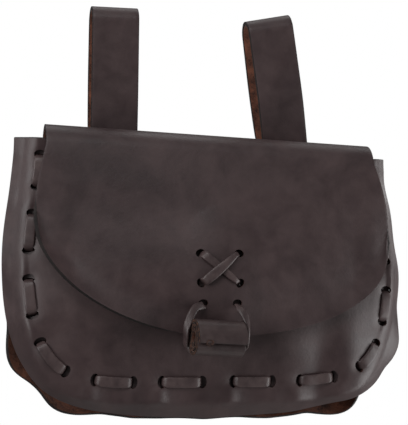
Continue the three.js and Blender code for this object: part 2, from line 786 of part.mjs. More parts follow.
// Toggle: a strip of leather rolled up tight, its roll lying along X
function toggleGeometry() {
  const surface = (u, turn) => {
    const angle = TOGGLE_END + 2 * Math.PI * (TOGGLE_TURNS - turn);
    const { radius } = toggleRadius(turn);
    return new THREE.Vector3(
      u * TOGGLE_LENGTH, radius * Math.sin(angle), radius * Math.cos(angle));
  };
  const turns = [];
  let start = 0;
  for (let layer = Math.floor(TOGGLE_TURNS); layer >= 0; layer -= 1) {
    const end = TOGGLE_TURNS - layer;
    const { jogEnd } = toggleRadius(end - 0.5);
    const steps = Math.round((end - jogEnd) * TOGGLE_STEPS_PER_TURN);
    turns.push(start, ...evenly(jogEnd, end, steps).slice(0, -1));
    start = end;
  }
  const roll = sheet(surface, [-0.5, 0.5], [...turns, TOGGLE_TURNS], TOGGLE_HIDE);
  roll.applyMatrix4(new THREE.Matrix4().makeRotationY(TOGGLE_TILT));
  roll.applyMatrix4(new THREE.Matrix4().makeRotationZ(TOGGLE_TURN));
  return roll.translate(TOGGLE_CENTRE.x, TOGGLE_CENTRE.y, TOGGLE_CENTRE.z);
}

function toggleTieStations() {
  const tie = TOGGLE_TIE;
  const wide = new THREE.Vector3(1, 0, 0);
  const behind = panelY(tie.x, tie.rootZ) + HIDE / 2 + GAP + tie.thick / 2;
  const root = panelY(tie.x, tie.rootZ) - tie.rootOff;
  return [
    { at: new THREE.Vector3(tie.x, tie.tipY, tie.z), wide },
    { at: new THREE.Vector3(tie.x, TOGGLE_CENTRE.y, tie.z), wide },
    { at: new THREE.Vector3(tie.x, root, tie.rootZ), wide },
    { at: new THREE.Vector3(tie.x, behind, tie.rootZ), wide },
    { at: new THREE.Vector3(tie.x, behind, tie.rootZ - tie.tail), wide },
  ];
}

// The way that the toggle's tie takes, a little larger, as a cutter
function tieWay(grow) {
  const tie = TOGGLE_TIE;
  return thong(toggleTieStations(), tie.width + grow, tie.thick + grow);
}

// Belt loop: the front strand stands on the back panel, turns over the belt and comes down
function strapRows({ raised, bow }) {
  const r = STRAP_HALF_GAP;
  const turnZ = HIDE / 2 - r + raised;
  const onBack = HIDE + GAP - r;
  const arc = evenly(0, Math.PI, 6).map((angle) => (
    { y: -r * Math.cos(angle), z: turnZ + r * Math.sin(angle) }));
  return [
    { y: -r, z: STRAP_BASE },
    { y: -r, z: -104 },
    { y: -r, z: -82 },
    { y: -r - bow, z: -46 },
    ...arc,
    { y: r + 0.6, z: -34 },
    { y: r - 1.5, z: -62 },
    { y: r - 7, z: -80 },
    { y: onBack + 1.3, z: -93 },
    { y: onBack, z: -98 },
    { y: onBack, z: STRAP_BASE },
  ];
}

function strapPoint(strap, u, v) {
  const rows = strapRows(strap);
  const low = clamp(Math.floor(v), 0, rows.length - 2);
  const y = lerp(rows[low].y, rows[low + 1].y, v - low);
  const z = lerp(rows[low].z, rows[low + 1].z, v - low);
  const aslant = strap.skew * u * STRAP_WIDTH * smoothstep(z, STRAP_SKEW_FROM, 0);
  return new THREE.Vector3(u * STRAP_WIDTH, y, z + aslant);
}

function strapMatrix({ x, lean }) {
  const angle = THREE.MathUtils.degToRad(lean);
  return new THREE.Matrix4()
    .makeTranslation(x, 0, STRAP_PIVOT_Z)
    .multiply(new THREE.Matrix4().makeRotationY(angle))
    .multiply(new THREE.Matrix4().makeTranslation(0, 0, -STRAP_PIVOT_Z));
}

function strapSlots(strap) {
  const matrix = strapMatrix(strap);
  const slots = [];
  for (const x of [-STRAP_HOLE_HALF, STRAP_HOLE_HALF]) {
    for (const z of [STRAP_HOLES.top, STRAP_HOLES.low]) {
      const hole = new THREE.BoxGeometry(SLOT_ACROSS, SLOT_DEEP, SLOT_ALONG);
      hole.translate(x, BACK_Y + 2, z);
      slots.push(closed(hole.applyMatrix4(matrix)));
    }
  }
  return slots;
}

// Hidden thong that holds both ends of a strap to the back panel: two legs and a bar
function strapLace(strap) {
  const inside = BACK_Y - HIDE / 2 - GAP - LACE_THICK / 2;
  const outside = -STRAP_HALF_GAP + 2 * HIDE + 2 * GAP - HIDE / 2 + LACE_THICK / 2;
  const { top, low } = STRAP_HOLES;
  const leg = (x) => {
    const stations = [
      { y: inside - STRAP_LACE_TAIL, z: top },
      { y: outside, z: top },
      { y: outside, z: low },
      { y: inside, z: low },
    ];
    return toManifold(thong(stations.map(({ y, z }) => (
      { at: new THREE.Vector3(x, y, z), wide: new THREE.Vector3(1, 0, 0) })),
    LACE_WIDTH, LACE_THICK));
  };
  const bar = new THREE.BoxGeometry(2 * STRAP_HOLE_HALF + LACE_WIDTH, LACE_THICK, LACE_WIDTH);
  bar.translate(0, inside, low - STRAP_BAR_DOWN);
  const joined = leg(-STRAP_HOLE_HALF).add(toManifold(closed(bar))).add(leg(STRAP_HOLE_HALF));
  return toGeometry(joined).applyMatrix4(strapMatrix(strap));
}

// Knots of the two sheets: even inside the lace line, then the rings of the margin
const SIDE_KNOTS = [0, 0.11, 0.22, 0.33, 0.44, 0.55, 0.66, 0.76, 0.845, 0.93, 1];
const DOWN_KNOTS = [0, 0.1, 0.2, 0.3, 0.41, 0.52, 0.63, 0.74, 0.845, 0.93, 1];
const BACK_KNOTS = [0, 0.07, 0.25, 0.5, 0.67, 0.845, 0.93, 1];
const onLine = (knots) => knots.filter((k) => k <= LACE_RING).map((k) => k / LACE_RING);
const FRONT_COLUMNS = [
  ...onLine(DOWN_KNOTS),
  ...onLine(SIDE_KNOTS).slice(0, -1).map((k) => 2 - k).reverse(),
  ...onLine(SIDE_KNOTS).slice(1).map((k) => 2 + k),
  ...onLine(DOWN_KNOTS).slice(0, -1).map((k) => 4 - k).reverse(),
];
const mirrored = (knots) => [...knots.slice(1).map((k) => -k).reverse(), ...knots];

const LEATHER_BROWN = 0x3d3334;
const LACE_BROWN = 0x40383a;
const FLESH_BROWN = 0x4b2c1a;

function leather(name, geometry, colour, roughness) {
  const material = new THREE.MeshStandardMaterial({ color: colour, roughness, metalness: 0 });
  geometry.computeVertexNormals();
  const mesh = new THREE.Mesh(geometry, material);
  mesh.name = name;
  return mesh;
}

const pouch = new THREE.Group();

const tieCut = tieWay(TIE_WAY);
const frontPanel = sheet(frontPoint, mirrored(SIDE_KNOTS), DOWN_KNOTS, HIDE);
pouch.add(leather(
  'front_panel', cut(frontPanel, [...laceSlots(FRONT_LACING), tieCut]), LEATHER_BROWN, 0.5));

const backKnots = [
  ...BACK_KNOTS.map((k) => 1 - k).reverse(),
  ...evenly(1, 2, 6).slice(1),
  ...evenly(2, 3, 10).slice(1),
];
const backSheet = sheet(backSheetPoint, mirrored(SIDE_KNOTS), backKnots, HIDE);
const backCuts = [
  ...laceSlots(BACK_LACING),
  ...closureSlots(),
  ...Object.values(STRAPS).flatMap(strapSlots),
];
pouch.add(leather('back_flap', cut(backSheet, backCuts), LEATHER_BROWN, 0.5));

const gussetKnots = [
  GUSSET_END,
  ...FRONT_COLUMNS.slice(1, -1).map((q) => readArc('q', q).s),
  ARC.length - GUSSET_END,
];
const gusset = sheet(gussetPoint, gussetKnots, evenly(0, GUSSET_ROWS.length - 1, 6), HIDE);
const gussetCuts = [...laceSlots(FRONT_LACING), ...laceSlots(BACK_LACING), tieCut];
pouch.add(leather('gusset', cut(gusset, gussetCuts), LEATHER_BROWN, 0.55));

pouch.add(leather('front_lace', runningLace(FRONT_LACING), LACE_BROWN, 0.5));
pouch.add(leather('back_lace', runningLace(BACK_LACING), LACE_BROWN, 0.5));
pouch.add(leather(
  'closure_lace', thong(closureStations(), TIE_WIDTH, TIE_THICK), LACE_BROWN, 0.5));
pouch.add(leather('toggle', cut(toggleGeometry(), [tieCut]), LACE_BROWN, 0.45));
pouch.add(leather(
  'toggle_tie',
  thong(toggleTieStations(), TOGGLE_TIE.width, TOGGLE_TIE.thick), FLESH_BROWN, 0.7));

for (const [side, strap] of Object.entries(STRAPS)) {
  const strapKnots = strapRows(strap).map((_, i) => i);
  const band = sheet((u, v) => strapPoint(strap, u, v), [-0.5, 0.5], strapKnots, HIDE);
  band.applyMatrix4(strapMatrix(strap));
  pouch.add(leather(`belt_loop_${side}`, cut(band, strapSlots(strap)), LEATHER_BROWN, 0.5));
  pouch.add(leather(`loop_lace_${side}`, strapLace(strap), LACE_BROWN, 0.5));
}

export default pouch;
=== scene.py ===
"""Medieval belt pouch of dark waxed cowhide, laced with leather thong: the dressed model.

Sizes inside the classes are millimetres in the part's own frame: +Z up, the front faces -Y, and the
origin is where a belt carries the two loops. Meshes are written in metres.
"""

import logging
import math
from collections.abc import Callable
from dataclasses import dataclass, field
from enum import Enum, IntEnum

import bmesh
import bpy
import numpy as np
from mathutils import Matrix, Vector


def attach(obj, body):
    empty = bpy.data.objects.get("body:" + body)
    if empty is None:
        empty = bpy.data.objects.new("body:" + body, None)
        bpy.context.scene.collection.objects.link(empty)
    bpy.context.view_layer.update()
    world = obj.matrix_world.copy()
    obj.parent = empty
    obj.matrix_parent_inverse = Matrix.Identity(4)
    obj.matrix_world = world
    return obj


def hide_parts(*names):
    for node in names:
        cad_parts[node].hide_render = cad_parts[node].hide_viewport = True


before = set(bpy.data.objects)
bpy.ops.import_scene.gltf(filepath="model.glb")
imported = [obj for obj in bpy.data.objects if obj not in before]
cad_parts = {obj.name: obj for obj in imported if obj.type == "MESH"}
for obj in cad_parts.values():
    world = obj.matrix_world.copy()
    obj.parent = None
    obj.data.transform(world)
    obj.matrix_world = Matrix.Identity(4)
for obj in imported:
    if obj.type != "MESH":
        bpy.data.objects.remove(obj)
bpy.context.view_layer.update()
LOG = logging.getLogger("pouch")
MM = 0.001
TINY = 1e-6
SPLINE_STEPS = 24
SPLINE_PASSES = 6

Pair = tuple[float, float]
Triple = tuple[float, float, float]
Table = tuple[tuple[float, ...], ...]
Values = np.ndarray | float
Sheet = Callable[[np.ndarray, np.ndarray], np.ndarray]
Hole = tuple[np.ndarray, np.ndarray, np.ndarray]
Finishes = list[bpy.types.Material]


class Slot(Enum):
    """Material slots of the record, one for each kind of leather."""

    PANEL = "panel_leather"
    THONG = "thong_leather"
    TOGGLE = "toggle_leather"


class Face(IntEnum):
    """Material slots of one piece of hide."""

    GRAIN = 0
    FLESH = 1
    CUT = 2
    HOLE = 3


class Side(Enum):
    """The two sides of the pouch as seen from the front, with the sign of x there."""

    LEFT = -1
    RIGHT = 1


# Small shared arithmetic


def lerp(a: Values, b: Values, t: Values) -> Values:
    """Straight blend from a at t=0 to b at t=1."""
    return a + (b - a) * t


def smooth(x: np.ndarray, low: float, high: float) -> np.ndarray:
    """Eased step of x from 0 at low to 1 at high."""
    t = np.clip((x - low) / (high - low), 0.0, 1.0)
    return t * t * (3.0 - 2.0 * t)


def mound(x: np.ndarray, centre: float, spread: float) -> np.ndarray:
    """Bell of height 1 round a centre."""
    return np.exp(-(((x - centre) / spread) ** 2))


def by_side(x: np.ndarray, pair: Pair) -> np.ndarray:
    """Left value where x is negative, right value elsewhere."""
    return np.where(x < 0, pair[0], pair[1])


def unit(v: np.ndarray) -> np.ndarray:
    """Vectors of an array brought to length 1."""
    return v / np.maximum(np.linalg.norm(v, axis=-1, keepdims=True), 1e-12)


def stack(x: np.ndarray, y: np.ndarray, z: np.ndarray) -> np.ndarray:
    """Three coordinate arrays as one array of points."""
    return np.stack(np.broadcast_arrays(x, y, z), axis=-1)


def spline(knots: np.ndarray, spacing: float) -> np.ndarray:
    """Smooth curve through rows of numbers, at even steps of its length.

    Args:
        knots: rows whose first three numbers are a place, with any further numbers carried along.
        spacing: distance between the points that come back.

    Returns:
        Rows of the same width as the knots.
    """
    padded = np.vstack([2 * knots[0] - knots[1], knots, 2 * knots[-1] - knots[-2]])
    t = np.linspace(0, 1, SPLINE_STEPS, endpoint=False)[:, None]
    parts = []
    for i in range(len(knots) - 1):
        a, b, c, d = padded[i : i + 4]
        parts.append(0.5 * (2 * b + (c - a) * t + (2 * a - 5 * b + 4 * c - d) * t**2
                            + (3 * b - a - 3 * c + d) * t**3))
    fine = np.vstack([*parts, knots[-1:]])
    for _ in range(SPLINE_PASSES):
        fine[1:-1] = 0.25 * fine[:-2] + 0.5 * fine[1:-1] + 0.25 * fine[2:]
    length = np.concatenate([[0], np.cumsum(np.linalg.norm(np.diff(fine[:, :3], axis=0), axis=1))])
    at = np.linspace(0, length[-1], max(8, int(length[-1] / spacing)))
    return np.stack([np.interp(at, length, fine[:, k]) for k in range(fine.shape[1])], axis=1)


# The pouch's own form, as surfaces


@dataclass
class LaceLine:
    """The D-shaped line that the lacing follows, from the left mouth corner round to the right."""

    half: Pair = (101.0, 99.5)
    # How far the line is drawn in at the mouth, and the share of the height where that ends
    top_in: Pair = (6.8, 8.0)
    top_share: float = 0.55
    bottom: float = -203.5
    power: float = 6.0
    mouth_height: float = -76.5
    mouth_slope: float = -0.037
    # Where each stitch of the running lace goes in and comes out, by length along the line
    stitches: Table = (
        (10, 26.2), (42.2, 60.6), (76.9, 94.5), (110.7, 129.9), (147.7, 167), (184, 204.8),
        (223.4, 243.5), (260.8, 279.4), (296.1, 311.6), (325.6, 341.6), (359.1, 376.1),
        (393.6, 409.6))
    # The back's stitches are even: the first one's start, their length and their spacing
    back_even: Triple = (17.0, 19.0, 35.4)
    back_clear: float = 5.0
    # Tables by length are eased by a bell of this spread, and directions taken over this reach
    ease: float = 2.6
    ease_reach: int = 8
    ends: float = 20.0
    reach: float = 5.0
    steps: int = 960

    def __post_init__(self) -> None:
        """Tabulates the line by its length."""
        self.q = np.linspace(0, 4, self.steps + 1)
        self.x, self.z = self.point(self.q)
        run = np.hypot(np.diff(self.x), np.diff(self.z))
        self.s = np.concatenate([[0], np.cumsum(run)])
        self.length = float(self.s[-1])
        first, long, pitch = self.back_even
        starts = np.arange(first, self.length - long - self.back_clear, pitch)
        self.back_stitches = tuple((float(a), float(a) + long) for a in starts)
        self.holes = np.array(self.stitches).ravel()
        self.rests = (self.holes[1:-1:2] + self.holes[2::2]) / 2

    def place(self, s: np.ndarray) -> np.ndarray:
        """Points x and z of the line at lengths along it."""
        return np.stack([np.interp(s, self.s, self.x), np.interp(s, self.s, self.z)], axis=-1)

    def curve(self, table: Table, s: np.ndarray) -> np.ndarray:
        """Reads a table by length, eased over a few millimetres.

        Args:
            table: rows of a length along the line and a value.
            s: lengths to read it at.

        Returns:
            The eased values.
        """
        even = np.arange(-self.ends, self.length + self.ends, 1.0)
        values = np.interp(even, *np.array(table).T)
        wide = self.ease_reach
        kernel = mound(np.arange(-float(wide), wide + 1.0), 0, self.ease)
        eased = np.convolve(np.pad(values, wide, mode="edge"), kernel / kernel.sum(), mode="valid")
        return np.interp(s, even, eased)

    def mouth_z(self, x: np.ndarray) -> np.ndarray:
        """Height of the pouch's mouth at x."""
        return self.mouth_height + self.mouth_slope * x

    def point(self, q: np.ndarray) -> tuple[np.ndarray, np.ndarray]:
        """Point of the line.

        Args:
            q: 0 at the left mouth corner, 2 at the bottom and 4 at the right mouth corner.

        Returns:
            Arrays x and z.
        """
        across = np.where(np.abs(q - 2) > 1, np.sign(q - 2), q - 2)
        down = np.minimum(1, np.minimum(q, 4 - q))
        norm = (np.abs(across) ** self.power + down**self.power) ** (1 / self.power)
        v = down / norm
        taper = 1 - smooth(v, 0, self.top_share)
        x = (across / norm) * (by_side(across, self.half) - by_side(across, self.top_in) * taper)
        top = self.mouth_z(x)
        return x, top - v * (top - self.bottom)

    def edge(self, s: np.ndarray) -> dict[str, np.ndarray]:
        """Place, outward direction and share of bottom at lengths along the line.

        Args:
            s: lengths from the left mouth corner.

        Returns:
            Arrays x, z, out_x, out_z and bottom, which is 0 at a side and 1 at the bottom.
        """
        low = np.clip(s - self.reach, 0, self.length)
        high = np.clip(s + self.reach, 0, self.length)
        dx = np.interp(high, self.s, self.x) - np.interp(low, self.s, self.x)
        dz = np.interp(high, self.s, self.z) - np.interp(low, self.s, self.z)
        size = np.hypot(dx, dz)
        return {"x": np.interp(s, self.s, self.x), "z": np.interp(s, self.s, self.z),
                "out_x": dz / size, "out_z": -dx / size, "bottom": (dx / size) ** 2}


@dataclass
class PouchForm:
    """Surfaces of the pouch's walls: the middle of each sheet's thickness."""

    line: LaceLine = field(default_factory=LaceLine)
    hide: float = 2.0
    gap: float = 0.35
    slack: float = 0.2
    mouth_y: float = -30.0
    bottom_y: float = -47.0
    bulge: float = 12.0
    back_y: float = -10.3
    # The front margin's fold, each at a side and at the bottom: its distance out of the lace line,
    # how far back it lies, how round it is and how far back the edge lies
    crease_out: Pair = (8.0, 11.0)
    crease_back: Pair = (6.0, 0.8)
    crease_round: Pair = (0.55, 0.06)
    rim_back: Pair = (19.0, 8.0)
    # Depth and spread of the leather drawn in under a stitch and at a hole, and raised between
    press: Pair = (0.7, 3.9)
    hole_press: Pair = (0.4, 4.0)
    rest_rise: Pair = (0.5, 8.5)
    pucker: float = 1.1
    pucker_from: float = 0.6
    # Wrinkles beside each stitch: their mean depth, its change and how fast that changes, first
    # for the ridge before the stitch and then for the dip along it
    wrinkles: Table = ((1.1, 0.5, 5.3), (0.5, 0.4, 3.7))
    wrinkle_beside: float = 2.5
    ridge_wide: float = 4.2
    dip_wide: float = 6.0
    after_wide: float = 3.6
    after_share: float = 0.5
    wrinkle_start: Pair = (0.5, 5.0)
    wrinkle_end: Pair = (-1.0, 2.5)
    wrinkle_share: Pair = (0.2, 1.0)
    # The back's margin
    flange: float = 6.0
    back_forward: Pair = (3.0, 7.0)
    ruffle: float = 2.3
    ruffle_pitch: float = 26.0
    ruffle_share: Pair = (4.4, 0.25)
    # How far each sheet's edge stands out of the lace line, by length along it
    front_rim: Table = (
        (0, 13.6), (60, 12.9), (100.1, 12.6), (108.1, 12.6), (118.1, 12.9), (127.1, 14.9),
        (140.1, 15.7), (151.1, 17), (168.1, 18.5), (190.1, 19.8), (209.1, 20.4), (235.1, 19.4),
        (260.1, 17.4), (280.1, 15), (289.1, 15.9), (300.1, 17.1), (306.1, 16.2), (310.1, 18.4),
        (316.1, 18.6), (323.1, 15.6), (333.1, 13), (363.1, 11.5))
    back_rim: Table = (
        (0, 12), (81.1, 10.8), (96.1, 11.5), (102.1, 12.7), (107.1, 15.3), (113.1, 18.6),
        (117.1, 19.6), (121.1, 18.9), (124.1, 17.4), (128.1, 17.6), (131.1, 19.2), (134.1, 22.4),
        (139.1, 24), (145.1, 23.8), (156.1, 21.5), (165.1, 22.4), (173.1, 23.9), (193.1, 23.8),
        (213.1, 24.7), (234.1, 23.9), (251.1, 25.1), (261.1, 24.1), (271.1, 22.8), (278.1, 25.4),
        (283.1, 27.5), (287.1, 28.2), (291.1, 26.4), (295.1, 20), (301.1, 17), (311.1, 15),
        (325.1, 12), (339.1, 10))
    lace_ring: float = 0.845
    crease_ring: float = 0.93
    # The fold over the mouth
    fold_z: float = -69.9
    fold_slope: float = -0.0385
    fold_radius: float = 13.4
    fold_half: float = 92.0
    fold_end: float = math.radians(163)
    # The flap's outline, left and right
    flap_half: Pair = (97.8, 99.5)
    flap_turn: Pair = (-118.0, -127.0)
    flap_power: Pair = (1.85, 2.2)
    flap_bottom: float = -178.0
    flap_widens: float = 46.0
    # How far its edge stands off, over what height and from where to where beside the toggle
    flap_lift: Pair = (6.0, 2.0)
    lift_high: float = 18.0
    lift_across: Pair = (12.0, 40.0)
    # Droop at its sides: depth, power and height over which it grows
    flap_droop: Triple = (5.0, 2.6, 40.0)
    # How far it lies off the panel, over the tie (depth, spread) and over the lacing (depth, span)
    flap_off: float = 3.2
    over_tie: Pair = (2.4, 22.0)
    over_lace: Triple = (2.2, 76.0, 92.0)
    rest_down: Pair = (96.0, 138.0)
    # The closure's pairs of holes: half their distance and height, high, low and for the loop
    closure: Table = ((9.4, -134.0), (9.4, -149.5), (9.3, -161.0))
    # Dents and bumps of the front panel: x, z, spread across, spread along, depth inwards
    dents: Table = (
        (37, -183, 16, 13, -2.3), (60, -195, 8.5, 17, 1.8), (76, -184, 10, 16, -1.6),
        (104, -184, 22, 19, 5.6), (20, -192, 30, 6, 0.8), (-88, -178, 10, 8, 1.2))

    def panel_y(self, x: np.ndarray, z: np.ndarray) -> np.ndarray:
        """Depth of the front panel inside the lace line.

        Args:
            x: places across.
            z: heights.

        Returns:
            The y of the sheet's middle.
        """
        line = self.line
        down = np.clip((line.mouth_z(x) - z) / (line.mouth_z(x) - line.bottom), 0, 1.1)
        lean = lerp(self.mouth_y, self.bottom_y, smooth(down, 0, 1))
        across = np.minimum(1, np.abs(x / by_side(x, line.half)))
        swell = (1 - across**3) * np.sin(np.pi * np.minimum(1, down)) ** 1.5
        y = lean - self.bulge * swell
        for place_x, place_z, wide, tall, deep in self.dents:
            y = y + deep * mound(x, place_x, wide) * mound(z, place_z, tall)
        return y

    def drawn_in(self, x: np.ndarray, z: np.ndarray) -> np.ndarray:
        """How far the lacing draws the leather in under its stitches and lets it rise between.

        Args:
            x: places across.
            z: heights.

        Returns:
            Depths to add to y.
        """
        (press, under), (pinch, round_hole), (rise, between) = (
            self.press, self.hole_press, self.rest_rise)
        here = np.stack([x, z], axis=-1)
        total = np.zeros(np.shape(x))
        for start, end in self.line.stitches:
            a, b = self.line.place(np.array(start)), self.line.place(np.array(end))
            share = np.clip(((here - a) @ (b - a)) / np.dot(b - a, b - a), 0, 1)
            away = np.linalg.norm(here - a - share[..., None] * (b - a), axis=-1)
            total = total + press * mound(away, 0, under)
            for hole in (a, b):
                away = np.linalg.norm(here - hole, axis=-1)
                total = total + pinch * mound(away, 0, round_hole)
        for rest in self.line.rests:
            away = np.linalg.norm(here - self.line.place(np.array(rest)), axis=-1)
            total = total - rise * mound(away, 0, between)
        return total

    def front(self, s: np.ndarray, out: np.ndarray) -> np.ndarray:
        """Front panel and its margin.

        Args:
            s: length along the lace line.
            out: distance out of the line; negative is towards the panel's middle.

        Returns:
            Points of the sheet's middle.
        """
        edge = self.line.edge(s)
        bottom = edge["bottom"]
        crease, rim = lerp(*self.crease_out, bottom), self.line.curve(self.front_rim, s)
        x, z = edge["x"] + edge["out_x"] * out, edge["z"] + edge["out_z"] * out
        middle = self.panel_y(edge["x"], edge["z"])
        deep = (self.back_y - middle) / (self.back_y - self.bottom_y)
        crease_back = lerp(*self.crease_back, bottom) * deep
        rim_back = lerp(*self.rim_back, bottom) * deep
        far = (out - crease) / (rim - crease)
        bend = lerp(*self.crease_round, bottom)
        soft = 0.5 * (far + np.sqrt(far**2 + 4 * bend**2))
        share = np.clip(out, 0, crease) / crease
        before = crease_back * (share + share**2) / 2
        back = before + (rim_back - crease_back) * (soft - bend**2)
        phase = np.interp(s, self.line.holes, np.arange(len(self.line.holes)) / 2)
        fold = -self.pucker * np.cos(2 * np.pi * (phase + 0.25))
        fold = fold * smooth(out, self.pucker_from * crease, rim)
        first, last = self.wrinkle_end
        reach = smooth(out, *self.wrinkle_start) * (1 - smooth(out, crease + first, crease + last))
        reach = reach * lerp(*self.wrinkle_share, bottom)
        beside = self.wrinkle_beside
        for i, (start, end) in enumerate(self.line.stitches):
            ridge, dip = [mean + change * math.sin(fast * i) for mean, change, fast in self.wrinkles]
            after = self.after_share * dip
            fold = fold + reach * (dip * mound(s, (start + end) / 2, self.dip_wide)
                                   - ridge * mound(s, start - beside, self.ridge_wide)
                                   - after * mound(s, end + beside, self.after_wide))
        margin = middle + np.maximum(back, 0) + fold
        y = np.where(out <= 0, self.panel_y(x, z), margin)
        return stack(x, y + self.drawn_in(x, z), z)

    def ring_point(self, across: np.ndarray, down: np.ndarray, margin: Sheet, inside: Sheet,
                   crease: Pair, rim: Table) -> np.ndarray:
        """A D of rings: shrinking to the mouth inside the lace line, parallel to it outside.

        Args:
            across: -1 at the left edge to 1 at the right.
            down: 0 at the mouth to 1 at the bottom edge.
            margin: surface of s and out, used outside the line.
            inside: depth of x and z, used inside the line.
            crease: distance out of the margin's fold, at a side and at the bottom.
            rim: table of how far out the sheet's edge is, by length along the line.

        Returns:
            Points of the sheet's middle.
        """
        line = self.line
        ring = np.maximum(np.maximum(np.abs(across), down), TINY)
        a, d = across / ring, down / ring
        q = np.where(np.abs(a) >= 1 - TINY, np.where(a < 0, d, 4 - d), a + 2)
        here_x, here_z = np.interp(q, line.q, line.x), np.interp(q, line.q, line.z)
        s = np.interp(q, line.q, line.s)
        x = here_x * ring / self.lace_ring
        z = line.mouth_z(x) - (line.mouth_z(here_x) - here_z) * ring / self.lace_ring
        within = stack(x, inside(x, z), z)
        bottom = line.edge(s)["bottom"]
        fold, end = lerp(*crease, bottom), line.curve(rim, s)
        near = fold * (ring - self.lace_ring) / (self.crease_ring - self.lace_ring)
        far = lerp(fold, end, (ring - self.crease_ring) / (1 - self.crease_ring))
        outside = margin(s, np.maximum(0, np.where(ring < self.crease_ring, near, far)))
        return np.where((ring <= self.lace_ring)[..., None], within, outside)

    def front_panel(self, across: np.ndarray, down: np.ndarray) -> np.ndarray:
        """Front panel by the rings of its D."""
        return self.ring_point(across, down, self.front,
                               lambda x, z: self.panel_y(x, z) + self.drawn_in(x, z),
                               self.crease_out, self.front_rim)

    def behind_y(self, x: np.ndarray, z: np.ndarray) -> np.ndarray:
        """Depth of the back sheet: flat, and leaning forward where the fold begins.

        Args:
            x: places across.
            z: heights.

        Returns:
            The y of the sheet's middle.
        """
        radius = self.fold_radius
        above = np.maximum(0, z - (self.fold_z + self.fold_slope * x - radius))
        return self.back_y - radius + np.sqrt(np.maximum(0, radius**2 - above**2))

    def back(self, s: np.ndarray, out: np.ndarray) -> np.ndarray:
        """Back panel and its wavy margin.

        Args:
            s: length along the lace line.
            out: distance out of the line.

        Returns:
            Points of the sheet's middle.
        """
        edge = self.line.edge(s)
        bottom = edge["bottom"]
        rim = self.line.curve(self.back_rim, s)
        share = np.clip((out - self.flange) / (rim - self.flange), 0, 1)
        turned, flat = self.ruffle_share
        corner = np.minimum(1, turned * bottom * (1 - bottom) + flat * bottom)
        wave = corner * np.sin(2 * np.pi * s / self.ruffle_pitch) * share**2
        forward = lerp(*self.back_forward, bottom) * share**2 + self.ruffle * wave
        x, z = edge["x"] + edge["out_x"] * out, edge["z"] + edge["out_z"] * out
        return stack(x, self.behind_y(edge["x"], edge["z"]) - forward, z)

    def flap_y(self, x: np.ndarray, z: np.ndarray) -> np.ndarray:
        """Depth of the flap: it leans forward from the fold, then lies over the front panel.

        Args:
            x: places across.
            z: heights.

        Returns:
            The y of the sheet's middle.
        """
        end_y = self.back_y - self.fold_radius * (1 - math.cos(self.fold_end))
        start_z = self.flap_start(x)
        droop, power, high = self.flap_droop
        droop = droop * np.abs(x / self.flap_half[0]) ** power * smooth(start_z - z, 0, high)
        lean = end_y - (start_z - z) * math.tan(math.pi - self.fold_end) + droop
        (tie, tie_wide), (lace, first, last) = self.over_tie, self.over_lace
        over = self.flap_off + tie * mound(x, 0, tie_wide) + lace * smooth(np.abs(x), first, last)
        near = 1 - np.clip((z - self.flap_edge(x)) / self.lift_high, 0, 1)
        lift = by_side(x, self.flap_lift) * smooth(np.abs(x), *self.lift_across)
        rest = self.panel_y(x, z) - over - near**2 * lift
        return np.minimum(rest, lerp(lean, rest, smooth(-z, *self.rest_down)))

    def flap_place(self, x: float, z: float) -> np.ndarray:
        """Point of the flap's middle at one place across and up it."""
        return np.array([x, float(self.flap_y(np.array(x), np.array(z))), z])

    def flap_start(self, x: np.ndarray) -> np.ndarray:
        """Height at which the fold ends and the flap's face begins."""
        top = self.fold_z + self.fold_slope * x
        return top - self.fold_radius * (1 - math.sin(self.fold_end))

    def flap_edge(self, x: np.ndarray) -> np.ndarray:
        """Height of the flap's rounded lower edge.

        Args:
            x: places across.

        Returns:
            The z of the edge.
        """
        turn, power = by_side(x, self.flap_turn), by_side(x, self.flap_power)
        share = np.minimum(1, np.abs(x) / by_side(x, self.flap_half)) ** power
        return turn - (turn - self.flap_bottom) * (1 - share) ** (1 / power)

    def back_sheet(self, across: np.ndarray, along: np.ndarray) -> np.ndarray:
        """Back sheet: along 0 to 1 is the back panel, 1 to 2 the fold and 2 to 3 the flap.

        Args:
            across: -1 at the left edge to 1 at the right.
            along: place from the bottom of the back, over the top, to the flap's lower edge.

        Returns:
            Points of the sheet's middle.
        """
        radius = self.fold_radius
        panel = self.ring_point(across, np.clip(1 - along, 0, 1), self.back, self.behind_y,
                                (self.flange, 2 * self.flange), self.back_rim)
        x = across * self.fold_half
        top = self.fold_z + self.fold_slope * x
        start = np.arcsin((self.line.mouth_z(x) - top + radius) / radius)
        angle = lerp(start, self.fold_end, np.clip(along - 1, 0, 1))
        fold = stack(x, self.back_y - radius * (1 - np.cos(angle)),
                     top - radius * (1 - np.sin(angle)))
        wide = across * by_side(across, self.flap_half)
        end = self.flap_edge(wide)
        down = np.clip(along - 2, 0, 1)
        widen = np.sin(np.pi / 2 * np.minimum(1, down * (top - end) / self.flap_widens))
        flap_x = lerp(x, wide, widen)
        z = lerp(self.flap_start(x), end, down)
        flap = stack(flap_x, self.flap_y(flap_x, z), z)
        return np.where((along <= 1)[..., None], panel,
                        np.where((along <= 2)[..., None], fold, flap))


# Mesh tools


